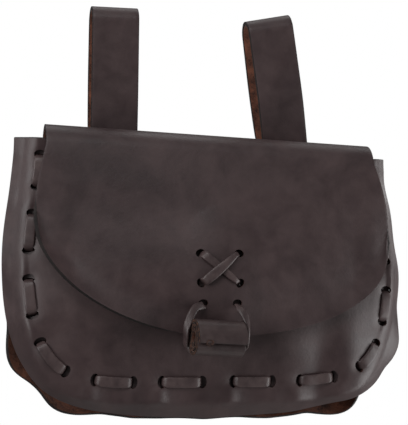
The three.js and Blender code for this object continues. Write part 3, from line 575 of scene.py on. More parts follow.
def sheet_bmesh(surface: Sheet, u: tuple[float, float, int], v: tuple[float, float, int],
                outward: Triple) -> bmesh.types.BMesh:
    """A fine grid laid on a surface.

    Args:
        surface: function of two arrays that gives points in millimetres.
        u: first and last value and number of steps of the first parameter.
        v: the same for the second parameter.
        outward: direction that the middle of the sheet's grain side faces.

    Returns:
        The bmesh, in metres.
    """
    mesh = bmesh.new()
    bmesh.ops.create_grid(mesh, x_segments=u[2], y_segments=v[2], size=0.5)
    flat = np.array([vertex.co[:2] for vertex in mesh.verts]) + 0.5
    points = surface(lerp(u[0], u[1], flat[:, 0]), lerp(v[0], v[1], flat[:, 1])) * MM
    for vertex, point in zip(mesh.verts, points):
        vertex.co = point
    mesh.faces.ensure_lookup_table()
    mesh.normal_update()
    nearest = int(np.argmin(np.abs(flat - 0.5).sum(axis=1)))
    mesh.verts.ensure_lookup_table()
    if mesh.verts[nearest].normal.dot(Vector(outward)) < 0:
        bmesh.ops.reverse_faces(mesh, faces=mesh.faces)
    return mesh


def thong_bmesh(path: np.ndarray, across: np.ndarray, width: Values, thick: float,
                corner: float = 3.2, around: int = 20) -> bmesh.types.BMesh:
    """A strip of thong with soft corners that follows a path.

    Args:
        path: points of the thong's middle line.
        across: direction of its width at each point.
        width: its width, for the whole thong or at each point.
        thick: its thickness.
        corner: power of the section's rounding; more is squarer.
        around: number of sides of the section.

    Returns:
        The closed bmesh, in metres.
    """
    run = unit(np.gradient(path, axis=0))
    wide = unit(across - run * np.sum(across * run, axis=1, keepdims=True))
    deep = np.cross(wide, run)
    mesh = bmesh.new()
    rows = len(path)
    bmesh.ops.create_grid(mesh, x_segments=rows - 1, y_segments=around, size=0.5)
    flat = np.array([vertex.co[:2] for vertex in mesh.verts]) + 0.5
    row = np.round(flat[:, 0] * (rows - 1)).astype(int)
    angle = flat[:, 1] * 2 * np.pi
    power = 2 / corner
    side = np.sign(np.cos(angle)) * np.abs(np.cos(angle)) ** power
    face = np.sign(np.sin(angle)) * np.abs(np.sin(angle)) ** power
    half = (np.broadcast_to(width, rows) / 2)[row]
    points = (path[row] + wide[row] * (half * side)[:, None]
              + deep[row] * (thick / 2 * face)[:, None]) * MM
    for vertex, point in zip(mesh.verts, points):
        vertex.co = point
    bmesh.ops.remove_doubles(mesh, verts=mesh.verts, dist=1e-7)
    rims = [edge for edge in mesh.edges if edge.is_boundary]
    bmesh.ops.holes_fill(mesh, edges=rims, sides=0)
    bmesh.ops.recalc_face_normals(mesh, faces=mesh.faces)
    return mesh


def to_object(name: str, mesh: bmesh.types.BMesh, finishes: Finishes) -> bpy.types.Object:
    """Turns a bmesh into a smooth object and frees it.

    Args:
        name: the object's name.
        mesh: its shape.
        finishes: its materials, in the order of its slots.

    Returns:
        The object, in the scene.
    """
    data = bpy.data.meshes.new(name)
    mesh.to_mesh(data)
    mesh.free()
    data.shade_smooth()
    made = bpy.data.objects.new(name, data)
    bpy.context.scene.collection.objects.link(made)
    for finish in finishes:
        data.materials.append(finish)
    return made


def thicken(piece: bpy.types.Object, thick: float, edge_round: float, corner: float = 50.0) -> None:
    """Gives a sheet its wall with a flesh side and a cut edge, and rounds its edges.

    Args:
        piece: the sheet, its mesh the middle of the wall.
        thick: the wall's thickness.
        edge_round: width of the edges' rounding.
        corner: angle in degrees above which an edge is rounded.
    """
    wall = piece.modifiers.new("wall", "SOLIDIFY")
    wall.thickness = thick * MM
    wall.offset = 0
    wall.use_even_offset = True
    wall.material_offset = Face.FLESH
    wall.material_offset_rim = Face.CUT
    soft = piece.modifiers.new("edges", "BEVEL")
    soft.width = edge_round * MM
    soft.segments = 2
    soft.profile = 0.5
    soft.limit_method = "ANGLE"
    soft.angle_limit = math.radians(corner)
    soft.material = Face.CUT


def bake_shape(piece: bpy.types.Object, sharp: float = 38.0) -> None:
    """Applies a piece's modifiers and sets which edges stay sharp.

    Args:
        piece: the object whose mesh is made final.
        sharp: angle in degrees above which an edge is drawn sharp.
    """
    graph = bpy.context.evaluated_depsgraph_get()
    final = bpy.data.meshes.new_from_object(piece.evaluated_get(graph))
    final.name = piece.name
    piece.modifiers.clear()
    piece.data = final
    final.shade_smooth()
    final.set_sharp_from_angle(angle=math.radians(sharp))


def punch(piece: bpy.types.Object, holes: list[Hole], size: Pair, through: float) -> None:
    """Cuts oval holes through a piece of hide.

    Args:
        piece: the leather to cut.
        holes: centre, long direction and direction through the leather of each hole.
        size: length along the long direction and width across it.
        through: how deep the punch goes.
    """
    cutter = bmesh.new()
    for centre, long_way, deep_way in holes:
        axis = unit(deep_way)
        first = unit(long_way - axis * np.dot(long_way, axis))
        second = np.cross(axis, first)
        turn = Matrix(np.stack([first * size[0], second * size[1], axis * through], axis=1) * MM)
        place = Matrix.Translation(Vector(centre * MM)) @ turn.to_4x4()
        bmesh.ops.create_cone(cutter, cap_ends=True, segments=24, radius1=0.5, radius2=0.5,
                              depth=1.0, matrix=place)
    bmesh.ops.recalc_face_normals(cutter, faces=cutter.faces)
    for face in cutter.faces:
        face.material_index = Face.HOLE
    tool = to_object(piece.name + "_punch", cutter, list(piece.data.materials))
    cut = piece.modifiers.new("holes", "BOOLEAN")
    cut.operation = "DIFFERENCE"
    cut.solver = "MANIFOLD"
    cut.object = tool
    bake_shape(piece)
    bpy.data.objects.remove(tool)


def seat(piece: bpy.types.Object, slot: Slot, *nodes: str) -> None:
    """Hands a finished piece to the frame in the place of its solids, and reports it.

    Args:
        piece: the dressed piece.
        slot: the record's material slot that it stands for; not used.
        nodes: names of the solids.
    """
    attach(piece, "root")
    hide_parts(*nodes)
    LOG.info("%s: %d faces in place of %s", piece.name, len(piece.data.polygons),
             ", ".join(nodes))


# Finishes


def linear(code: str) -> tuple[float, float, float, float]:
    """sRGB hex colour as linear light."""
    parts = [int(code[i : i + 2], 16) / 255 for i in (1, 3, 5)]
    return (*[c / 12.92 if c <= 0.04045 else ((c + 0.055) / 1.055) ** 2.4 for c in parts], 1.0)


def add(tree: bpy.types.NodeTree, kind: str, inputs: dict | None = None, **settings) -> bpy.types.Node:
    """Adds one node.

    Args:
        tree: the node tree that it joins.
        kind: the node's type.
        inputs: value or link of each input, by its name or number.
        settings: the node's own options.

    Returns:
        The new node.
    """
    node = tree.nodes.new(kind)
    for name, value in settings.items():
        setattr(node, name, value)
    for name, value in (inputs or {}).items():
        if isinstance(value, bpy.types.NodeSocket):
            tree.links.new(value, node.inputs[name])
        else:
            node.inputs[name].default_value = value
    return node


def new_tree(name: str) -> tuple[bpy.types.Material, bpy.types.NodeTree]:
    """Starts an empty node material.

    Args:
        name: the material's name.

    Returns:
        The material and its tree.
    """
    material = bpy.data.materials.new(name)
    material.use_nodes = True
    material.node_tree.nodes.clear()
    return material, material.node_tree


@dataclass(frozen=True)
class WaxedGrain:
    """Full-grain cowhide, dyed dark brown and waxed: a satin face with clouds of wax bloom."""

    name: str
    deep: str = "#302324"
    body: str = "#382a2b"
    bloom: str = "#4a3a3a"
    roughness: float = 0.47
    cloud_mm: float = 48.0
    smudge_mm: float = 13.0
    grain_mm: float = 1.3
    wrinkle_mm: float = 4.0
    bump: float = 0.35

    def material(self) -> bpy.types.Material:
        """Builds the node material.

        Returns:
            The material.
        """
        material, tree = new_tree(self.name)
        place = add(tree, "ShaderNodeTexCoord").outputs["Object"]
        cloud = add(tree, "ShaderNodeTexNoise", {"Vector": place, "Scale": 1000 / self.cloud_mm,
                    "Detail": 5.0, "Roughness": 0.6, "Distortion": 0.8}).outputs[0]
        smudge = add(tree, "ShaderNodeTexNoise", {"Vector": place, "Scale": 1000 / self.smudge_mm,
                     "Detail": 6.0, "Roughness": 0.62, "Distortion": 0.4}).outputs[0]
        both = add(tree, "ShaderNodeMath", {0: cloud, 1: smudge}, operation="MULTIPLY").outputs[0]
        share = add(tree, "ShaderNodeMapRange", {"Value": both, "From Min": 0.12,
                    "From Max": 0.42}).outputs[0]
        dark = add(tree, "ShaderNodeMapRange", {"Value": cloud, "From Min": 0.3,
                   "From Max": 0.6}).outputs[0]
        base = add(tree, "ShaderNodeMix", {0: dark, 6: linear(self.deep), 7: linear(self.body)},
                   data_type="RGBA").outputs[2]
        waxed = add(tree, "ShaderNodeMix", {0: share, 6: base, 7: linear(self.bloom)},
                    data_type="RGBA").outputs[2]
        grain = add(tree, "ShaderNodeTexVoronoi", {"Vector": place, "Scale": 1000 / self.grain_mm,
                    "Randomness": 1.0}, feature="SMOOTH_F1").outputs["Distance"]
        wrinkle = add(tree, "ShaderNodeTexNoise", {"Vector": place, "Scale": 1000 / self.wrinkle_mm,
                      "Detail": 3.0, "Roughness": 0.5}).outputs[0]
        height = add(tree, "ShaderNodeMath", {0: grain, 1: 0.45, 2: wrinkle},
                     operation="MULTIPLY_ADD").outputs[0]
        bump = add(tree, "ShaderNodeBump", {"Height": height, "Strength": self.bump,
                   "Distance": 0.00025}).outputs[0]
        gloss = add(tree, "ShaderNodeMapRange", {"Value": smudge, "From Min": 0.3,
                    "From Max": 0.7, "To Min": self.roughness - 0.05,
                    "To Max": self.roughness + 0.08}).outputs[0]
        shader = add(tree, "ShaderNodeBsdfPrincipled", {"Base Color": waxed, "Roughness": gloss,
                     "Normal": bump, "IOR": 1.5, "Specular IOR Level": 0.5})
        add(tree, "ShaderNodeOutputMaterial", {"Surface": shader.outputs[0]})
        return material


@dataclass(frozen=True)
class FleshSide:
    """Raw flesh side of the hide: rusty brown, matt and fibrous, with a loose nap."""

    name: str
    dark: str = "#2c140c"
    light: str = "#7d4c38"
    fibre_mm: float = 1.9
    patch_mm: float = 9.0
    bump: float = 0.8

    def material(self) -> bpy.types.Material:
        """Builds the node material.

        Returns:
            The material.
        """
        material, tree = new_tree(self.name)
        place = add(tree, "ShaderNodeTexCoord").outputs["Object"]
        fibre = add(tree, "ShaderNodeTexNoise", {"Vector": place, "Scale": 1000 / self.fibre_mm,
                    "Detail": 5.0, "Roughness": 0.75, "Distortion": 1.2}).outputs[0]
        patch = add(tree, "ShaderNodeTexNoise", {"Vector": place, "Scale": 1000 / self.patch_mm,
                    "Detail": 3.0}).outputs[0]
        both = add(tree, "ShaderNodeMath", {0: fibre, 1: patch}, operation="ADD").outputs[0]
        share = add(tree, "ShaderNodeMapRange", {"Value": both, "From Min": 0.75,
                    "From Max": 1.25}).outputs[0]
        colour = add(tree, "ShaderNodeMix", {0: share, 6: linear(self.dark), 7: linear(self.light)},
                     data_type="RGBA").outputs[2]
        bump = add(tree, "ShaderNodeBump", {"Height": fibre, "Strength": self.bump,
                   "Distance": 0.0005}).outputs[0]
        shader = add(tree, "ShaderNodeBsdfPrincipled", {"Base Color": colour, "Roughness": 0.92,
                     "Normal": bump, "IOR": 1.45, "Specular IOR Level": 0.3,
                     "Sheen Weight": 0.25, "Sheen Roughness": 0.5})
        add(tree, "ShaderNodeOutputMaterial", {"Surface": shader.outputs[0]})
        return material


@dataclass(frozen=True)
class CutEdge:
    """Edge of the hide as the knife left it: dye on the outside, raw fibre showing in flecks."""

    name: str
    dark: str = "#120b0a"
    light: str = "#241815"
    fleck_mm: float = 2.2
    roughness: float = 0.85

    def material(self) -> bpy.types.Material:
        """Builds the node material.

        Returns:
            The material.
        """
        material, tree = new_tree(self.name)
        place = add(tree, "ShaderNodeTexCoord").outputs["Object"]
        fleck = add(tree, "ShaderNodeTexNoise", {"Vector": place, "Scale": 1000 / self.fleck_mm,
                    "Detail": 4.0, "Roughness": 0.7}).outputs[0]
        share = add(tree, "ShaderNodeMapRange", {"Value": fleck, "From Min": 0.45,
                    "From Max": 0.75}).outputs[0]
        colour = add(tree, "ShaderNodeMix", {0: share, 6: linear(self.dark), 7: linear(self.light)},
                     data_type="RGBA").outputs[2]
        bump = add(tree, "ShaderNodeBump", {"Height": fleck, "Strength": 0.4,
                   "Distance": 0.0003}).outputs[0]
        shader = add(tree, "ShaderNodeBsdfPrincipled", {"Base Color": colour,
                     "Roughness": self.roughness, "Normal": bump, "IOR": 1.5})
        add(tree, "ShaderNodeOutputMaterial", {"Surface": shader.outputs[0]})
        return material


# Sub-assemblies


@dataclass
class Lacing:
    """Where a running lace's holes are and how the thong goes through them."""

    form: PouchForm
    width: float = 5.8
    thick: float = 1.6
    hole: Pair = (6.9, 4.6)
    hole_shift: float = 1.0
    punch_deep: float = 9.0
    bow: float = 0.15
    clear: float = 0.1
    # Share of its width in a hole, how square its section is and its points' spacing
    narrow: float = 0.84
    section: float = 4.6
    spacing: float = 0.55
    # The form's slacks between the leather and the thong behind it
    slacks: float = 7.5
    # How far to either side directions are taken, along the line and out of it
    reach: Pair = (1.5, 2.5)

    def frames(self, surface: Sheet, s: np.ndarray, front: int) -> tuple[np.ndarray, ...]:
        """Place, direction along, direction across and direction off the leather.

        Args:
            surface: the sheet that is laced, as a function of s and out.
            s: lengths along the lace line.
            front: 1 for the front panel, -1 for the back.

        Returns:
            Four arrays of vectors.
        """
        zero = np.zeros_like(s)
        at = surface(s, zero)
        ahead, aside = self.reach
        along = unit(surface(s + ahead, zero) - surface(s - ahead, zero))
        out = unit(surface(s, zero + aside) - surface(s, zero - aside))
        off = unit(np.cross(along, out))
        off = np.where((off[:, 1] * front > 0)[:, None], -off, off)
        return at, along, unit(np.cross(off, along)), off

    def stitches(self, front: int) -> Table:
        """Stitches of the front's lace where front is 1, of the back's where it is -1."""
        return self.form.line.stitches if front == 1 else self.form.line.back_stitches

    def holes(self, surface: Sheet, front: int, shift: float) -> list[Hole]:
        """Centre, long direction and through direction of every hole.

        Args:
            surface: the sheet that is laced, as a function of s and out.
            front: 1 for the front panel, -1 for the back.
            shift: how far each hole is set beyond its stitch's end.

        Returns:
            One row of three vectors for each hole.
        """
        ends = np.array(self.stitches(front))
        found = []
        for column, push in ((0, -shift), (1, shift)):
            s = ends[:, column] + push
            at, _, across, off = self.frames(surface, s, front)
            found += [(at[i], across[i], off[i]) for i in range(len(s))]
        return found

    def cut(self, piece: bpy.types.Object, surface: Sheet, front: int) -> None:
        """Punches the lace's holes through the sheet that shows."""
        punch(piece, self.holes(surface, front, self.hole_shift), self.hole, self.punch_deep)

    def thong(self, surface: Sheet, front: int) -> bmesh.types.BMesh:
        """Running stitch: over the outer leather, down through both layers and along behind.

        Args:
            surface: the sheet that is laced, as a function of s and out.
            front: 1 for the front panel, -1 for the back.

        Returns:
            The closed bmesh, in metres.
        """
        form = self.form
        over = form.hide / 2 + self.clear + self.thick / 2
        under = form.hide / 2 + 2 * form.gap + form.hide + self.thick / 2
        under += self.slacks * form.slack
        # From a hole to its stitch's middle: distance, height off the leather, share of the width
        rise = ((0, -under, self.narrow), (0, -1.4, self.narrow), (1.1, over - 0.7, 0.9),
                (3.4, over + 0.15, 1.0))
        # Behind, from one stitch to the next: share of the way, height
        behind = ((0.25, -under - 0.7), (0.5, -under - self.bow), (0.75, -under - 0.7))
        rows: list[Triple] = []
        stitches = self.stitches(front)
        for i, (start, end) in enumerate(stitches):
            rows += [(start + away, height, wide) for away, height, wide in rise]
            rows.append(((start + end) / 2, over + self.bow, 1.0))
            rows += [(end - away, height, wide) for away, height, wide in reversed(rise)]
            if i < len(stitches) - 1:
                rest = stitches[i + 1][0] - end
                rows += [(end + share * rest, height, 1.0) for share, height in behind]
        table = np.array(rows)
        at, _, across, off = self.frames(surface, table[:, 0], front)
        knots = np.hstack([at + off * table[:, 1:2], across, table[:, 2:3]])
        path = spline(knots, self.spacing)
        return thong_bmesh(path[:, :3], path[:, 3:6], self.width * path[:, 6], self.thick,
                           self.section)


@dataclass
class FrontPanel:
    """The D-shaped front of the pouch, its margin folded back and puckered by the lacing."""

    form: PouchForm
    lacing: Lacing
    edge_round: float = 0.5
    columns: int = 220
    rows: int = 120

    def build(self, finishes: Finishes) -> bpy.types.Object:
        """Models the panel with its lacing holes.

        Args:
            finishes: grain, flesh side, cut edge and hole wall.

        Returns:
            The panel.
        """
        mesh = sheet_bmesh(self.form.front_panel, (-1, 1, self.columns), (0, 1, self.rows),
                           (0, -1, 0))
        panel = to_object("front_panel_leather", mesh, finishes)
        thicken(panel, self.form.hide, self.edge_round)
        self.lacing.cut(panel, self.form.front, 1)
        return panel

    def lace(self, finish: bpy.types.Material) -> bpy.types.Object:
        """Models the thong that joins the panel to the gusset."""
        return to_object("front_lace_thong", self.lacing.thong(self.form.front, 1), [finish])


@dataclass
class BackSheet:
    """One hide that is the back panel, the fold over the mouth and the flap."""

    form: PouchForm
    lacing: Lacing
    edge_round: float = 0.85
    columns: int = 160
    rows_each: int = 95
    # For each pair of the closure's holes: shift outwards, shift up, slant
    shifts: Table = ((1.3, 0.4, 0.35), (1.3, 0.0, -1.2), (0.0, 0.9, 0.0))
    hole: Pair = (5.2, 4.0)
    punch_deep: float = 6.0

    def build(self, finishes: Finishes) -> bpy.types.Object:
        """Models the sheet with its lacing and closure holes.

        Args:
            finishes: grain, flesh side, cut edge and hole wall.

        Returns:
            The sheet.
        """
        mesh = sheet_bmesh(self.form.back_sheet, (-1, 1, self.columns), (0, 3, 3 * self.rows_each),
                           (0, -0.2, 1))
        sheet = to_object("back_and_flap_leather", mesh, finishes)
        thicken(sheet, self.form.hide, self.edge_round)
        self.lacing.cut(sheet, self.form.back, -1)
        holes = []
        for (half, z), (out, up, slant) in zip(self.form.closure, self.shifts):
            for side in Side:
                sign = side.value
                centre = self.form.flap_place(sign * half, z) + np.array([sign * out, 0, up])
                holes.append((centre, np.array([1.0, 0, -sign * slant]), np.array([0, -1.0, 0])))
        punch(sheet, holes, self.hole, self.punch_deep)
        return sheet

    def lace(self, finish: bpy.types.Material) -> bpy.types.Object:
        """Models the thong that joins the back to the gusset."""
        return to_object("back_lace_thong", self.lacing.thong(self.form.back, -1), [finish])


class Strip(Enum):
    """Parts of the gusset, each following another surface."""

    FRONT = "front flange"
    WALL = "wall"
    BACK = "back flange"


@dataclass
class Gusset:
    """The bottom and sides: a strip with a flange inside the front and one inside the back."""

    form: PouchForm
    lacing: Lacing
    end: float = 2.0
    bow: float = 1.2
    hole: Pair = (6.4, 2.4)
    punch_deep: float = 14.0
    edge_round: float = 0.3
    # Slack between the flanges and the panels, even and in the corners, as a share of the form's
    slack: Pair = (1.2, 2.6)
    flange: float = 6.5
    # Where the wall meets the front, as a share of the crease's distance, and the back
    wall_front: float = 0.6
    wall_back: float = 5.0
    reach: float = 0.5
    steps: tuple[int, int] = (420, 36)

    def row(self, s: np.ndarray, part: Strip, out: float, share: float) -> np.ndarray:
        """Points of one line along the gusset.

        Args:
            s: lengths along the lace line.
            part: the part of the strip.
            out: distance out of the lace line on a flange, where share is 0.
            share: share of the crease's distance on the front, or of the way back on the wall.

        Returns:
            Points of the strip's middle.
        """
        form = self.form
        edge = form.line.edge(s)
        bottom = edge["bottom"]
        even, corner = self.slack
        apart = form.hide + form.gap + form.slack * (even + corner * 4 * bottom * (1 - bottom))
        if part is Strip.BACK:
            point = form.back(s, np.full_like(s, out))
            point[:, 1] -= apart
            return point
        if part is Strip.FRONT:
            away = out + share * lerp(*form.crease_out, bottom)
            step = self.reach
            along = form.front(s + step, away) - form.front(s - step, away)
            across = form.front(s, away + step) - form.front(s, away - step)
            off = unit(np.cross(along, across))
            off = np.where((off[:, 1] < 0)[:, None], -off, off)
            return form.front(s, away) + off * apart[:, None]
        head = self.row(s, Strip.FRONT, 0, self.wall_front)
        point = lerp(head, self.row(s, Strip.BACK, self.wall_back, 0), share)
        point[:, 0] += edge["out_x"] * self.bow
        point[:, 2] += edge["out_z"] * self.bow
        return point

    def surface(self, s: np.ndarray, row: np.ndarray) -> np.ndarray:
        """The whole strip.

        Args:
            s: lengths along the lace line.
            row: 0 at the front flange's edge to 6 at the back flange's edge.

        Returns:
            Points of the strip's middle.
        """
        stations = [(Strip.FRONT, -self.flange, 0), (Strip.FRONT, 0, 0),
                    (Strip.FRONT, 0, self.wall_front), (Strip.WALL, 0, 0.25),
                    (Strip.WALL, 0, 0.75), (Strip.BACK, self.wall_back, 0),
                    (Strip.BACK, -self.flange, 0)]
        lines = np.stack([self.row(s, *station) for station in stations])
        low = np.clip(np.floor(row).astype(int), 0, len(stations) - 2)
        index = np.arange(len(s))
        share = (row - low)[:, None]
        return lines[low, index] * (1 - share) + lines[low + 1, index] * share

    def build(self, finishes: Finishes) -> bpy.types.Object:
        """Models the strip with its lacing holes.

        Args:
            finishes: grain, flesh side, cut edge and hole wall.

        Returns:
            The strip.
        """
        last = self.form.line.length - self.end
        columns, rows = self.steps
        mesh = sheet_bmesh(self.surface, (self.end, last, columns), (0, 6, rows), (0, 0, -1))
        for _ in range(2):
            bmesh.ops.smooth_vert(mesh, verts=mesh.verts, factor=0.5, use_axis_x=True,
                                  use_axis_y=True, use_axis_z=True)
        strip = to_object("gusset_leather", mesh, finishes)
        thicken(strip, self.form.hide, self.edge_round)
        for surface, front in ((self.form.front, 1), (self.form.back, -1)):
            punch(strip, self.lacing.holes(surface, front, 0.0), self.hole, self.punch_deep)
        return strip


@dataclass
class Closure:
    """The thong of the closure, the rolled toggle that it loops round and the toggle's tie."""

    form: PouchForm
    width: float = 4.6
    thick: float = 2.0
    worn: float = 0.3
    clear: float = 0.1
    reach: float = 0.5
    spacing: float = 0.5
    toggle_length: float = 26.8
    toggle_at: Triple = (-3.8, -70.0, -177.6)
    toggle_turn: float = 6.0
    toggle_tilt: float = 3.5
    # The roll: radius of its outer layer, layers counted from the middle, turns and spacing, the
    # share of a turn in which a layer climbs, and how far and from where its end stands off
    toggle_outer: float = 8.6
    toggle_layers: int = 4
    toggle_turns: float = 2.95
    toggle_pitch: float = 2.35
    toggle_jog: float = 0.06
    toggle_loose: float = 1.9
    toggle_loose_from: float = 3.84
    toggle_hide: float = 1.75
    toggle_edge: float = 0.35
    toggle_end: float = -101.0
    toggle_steps: tuple[int, int] = (24, 200)
    # The tie: place, width and depth, how square it is and how far its tip stands off the middle
    tie_x: float = -10.3
    tie_z: float = -179.0
    tie_size: Pair = (4.0, 3.6)
    tie_section: float = 2.2
    tie_proud: float = 12.4
    tie_spacing: float = 0.6
    # The sunk middle of its cut tip: distance from the sides and depth
    tie_sunk: Pair = (0.9, 0.5)

    def on_flap(self, x: float, z: float, height: float, wide: Pair,
                share: float = 0.95) -> list[float]:
        """One knot of the thong where it lies on the flap.

        Args:
            x: place across the flap.
            z: place up the flap.
            height: how far off the flap's middle the thong is.
            wide: direction of its width, across and up.
            share: share of its full width.

        Returns:
            Place, width direction and share of the width.
        """
        step = self.reach
        place = self.form.flap_place
        slope_x = place(x + step, z)[1] - place(x - step, z)[1]
        slope_z = place(x, z + step)[1] - place(x, z - step)[1]
        off = unit(np.array([slope_x, -1.0, slope_z]))
        direction = np.array([wide[0], 0, wide[1]], float)
        direction = unit(direction - off * np.dot(direction, off))
        return [*(place(x, z) + off * height), *direction, share]

    def hanging(self, x: float, y: float, z: float, wide: Triple) -> list[float]:
        """Knot of the loop that hangs round the toggle, from the toggle's centre."""
        centre = self.toggle_at
        return [centre[0] + x, centre[1] + y, centre[2] + z, *unit(np.array(wide, float)), 0.92]

    def lace(self, finish: bpy.types.Material) -> bpy.types.Object:
        """Models the crossed thong on the flap's face and the loop that hangs from it.

        Args:
            finish: the thong's leather.

        Returns:
            The thong, its route given knot by knot from end to end.
        """
        over = self.form.hide / 2 + self.clear + self.thick / 2
        under = -over - 0.4
        top = over + self.thick
        (c, high), (_, low), (h, loop) = self.form.closure
        flap, hang = self.on_flap, self.hanging
        rows = [
            flap(0.8, high + 0.6, under, (0, 1)), flap(c, high, under, (0, 1)),
            flap(c - 0.6, high - 0.6, over - 0.7, (1, -1), 0.62),
            flap(0.5 * c, lerp(high, low, 0.25), top - 0.9, (0.82, -1), 0.84),
            flap(0.0, lerp(high, low, 0.5), top - 0.5, (0.82, -1), 1.08),
            flap(-0.5 * c, lerp(high, low, 0.75), top - 0.9, (0.82, -1), 1.16),
            flap(-c + 1.2, low + 1.0, over - 0.2, (0.82, -1), 1.05),
            flap(-c, low, under, (1, -0.4)), flap(-h, loop, under, (1, 0)),
            flap(-h - 0.6, loop - 0.3, over - 0.3, (0.6, -1), 0.95),
            hang(-10.4, 8.2, 15.2, (0.7, -0.3, -1)),
            hang(-13.5, 5.6, 11.0, (0.9, -0.4, -0.9)),
            hang(-16.0, 3.8, 4.6, (0.7, -1, -0.4)),
            hang(-16.0, 4.6, -0.6, (0.3, -1, 0)),
            hang(-15.4, 7.6, -4.6, (0.3, -1, -0.4)),
            hang(-11.5, 11.4, -7.4, (0, -0.6, -1)),
            hang(0, 12.6, -8.0, (0, -0.4, -1)),
            hang(13.0, 10.8, -7.6, (0, -0.6, -1)),
            hang(16.8, 5.6, -5.4, (-0.3, -1, -0.4)),
            hang(17.2, 3.2, -1.0, (-0.3, -1, 0)),
            hang(17.2, 3.2, 5.0, (-0.4, -1, -0.2)),
            hang(15.8, 5.2, 10.8, (-1, -0.6, -0.5)),
            hang(14.0, 7.6, 14.4, (-1, -0.3, -0.5)),
            flap(h + 0.4, loop - 0.5, over - 0.3, (-1, 0.3), 0.95),
            flap(h, loop, under, (-1, 0)), flap(c, low, under, (-1, 0.4)),
            flap(c - 0.8, low + 0.7, over - 0.6, (0.82, 1), 0.62),
            flap(0.5 * c, lerp(high, low, 0.75), over - 0.1, (0.82, 1), 0.8),
            flap(-0.5 * c, lerp(high, low, 0.25), over - 0.1, (0.82, 1), 1.0),
            flap(-c + 0.9, high - 0.8, over - 0.6, (0.82, 1), 0.95),
            flap(-c, high, under, (0.4, 1)), flap(-0.8, high + 0.6, under, (0, 1)),
        ]
        knots = np.array(rows)
        for i in range(1, len(knots)):
            if np.dot(knots[i, 3:6], knots[i - 1, 3:6]) < 0:
                knots[i, 3:6] *= -1
        path = spline(knots, self.spacing)
        mesh = thong_bmesh(path[:, :3], path[:, 3:6], self.width * path[:, 6],
                           self.thick - self.worn)
        return to_object("closure_thong", mesh, [finish])

    def toggle(self, finishes: Finishes) -> bpy.types.Object:
        """Models the strip of leather rolled up tight, its outer layer ending at the front.

        Args:
            finishes: grain, flesh side, raw end and dyed long edge.

        Returns:
            The roll.
        """
        def rolled(along: np.ndarray, turn: np.ndarray) -> np.ndarray:
            """Surface of the roll.

            Args:
                along: -0.5 at its left end to 0.5 at its right.
                turn: turns from the inside.

            Returns:
                Points of the strip's middle, about the roll's own.
            """
            angle = math.radians(self.toggle_end) + 2 * np.pi * (self.toggle_turns - turn)
            layers = self.toggle_layers
            past = turn - self.toggle_turns + layers
            layer = np.maximum(0, np.ceil(past - 1e-9) - 1)
            ring = self.toggle_outer + self.toggle_pitch * (layer - (layers - 1))
            jog = self.toggle_jog * self.toggle_outer / (ring - 0.5 * self.toggle_pitch)
            radius = ring - self.toggle_pitch * (1 - smooth(past - layer, 0, jog))
            radius = radius + self.toggle_loose * smooth(past, self.toggle_loose_from, layers)
            return stack(along * self.toggle_length, radius * np.sin(angle),
                         radius * np.cos(angle))

        columns, rows = self.toggle_steps
        mesh = sheet_bmesh(rolled, (-0.5, 0.5, columns), (0, self.toggle_turns, rows), (0, 1, 0))
        turn = (Matrix.Translation(Vector(self.toggle_at) * MM)
                @ Matrix.Rotation(math.radians(self.toggle_turn), 4, "Z")
                @ Matrix.Rotation(math.radians(self.toggle_tilt), 4, "Y"))
        bmesh.ops.transform(mesh, matrix=turn, verts=mesh.verts)
        roll = to_object("toggle_roll", mesh, finishes)
        thicken(roll, self.toggle_hide, self.toggle_edge)
        bake_shape(roll)
        # The long edges are dyed, as a hole's wall is, and only the two ends are raw
        for face in roll.data.polygons:
            if face.material_index == Face.CUT and abs(face.normal.x) < 0.6:
                face.material_index = Face.HOLE
        return roll

    def tie(self, finish: bpy.types.Material) -> bpy.types.Object:
        """Models the thong that ties the roll to the front panel, its tip proud of the roll.

        Args:
            finish: the thong's cut leather.

        Returns:
            The tie, its route given point by point.
        """
        x, z, middle = self.tie_x, self.tie_z, self.toggle_at[1]
        panel = float(self.form.panel_y(np.array(x), np.array(z - 3)))
        route = ((middle - self.tie_proud, 0), (middle, 0), (panel - 4, -1.6), (panel + 2.6, -1.8),
                 (panel + 2.8, -10.6))
        knots = np.array([[x, y, z + down, 1, 0, 0] for y, down in route], float)
        path = spline(knots, self.tie_spacing)
        mesh = thong_bmesh(path[:, :3], path[:, 3:6], *self.tie_size, corner=self.tie_section)
        mesh.faces.ensure_lookup_table()
        cap = min(mesh.faces, key=lambda face: face.calc_center_median().y)
        inset, sunk = self.tie_sunk
        bmesh.ops.inset_individual(mesh, faces=[cap], thickness=inset * MM, depth=-sunk * MM)
        return to_object("toggle_tie_thong", mesh, [finish])


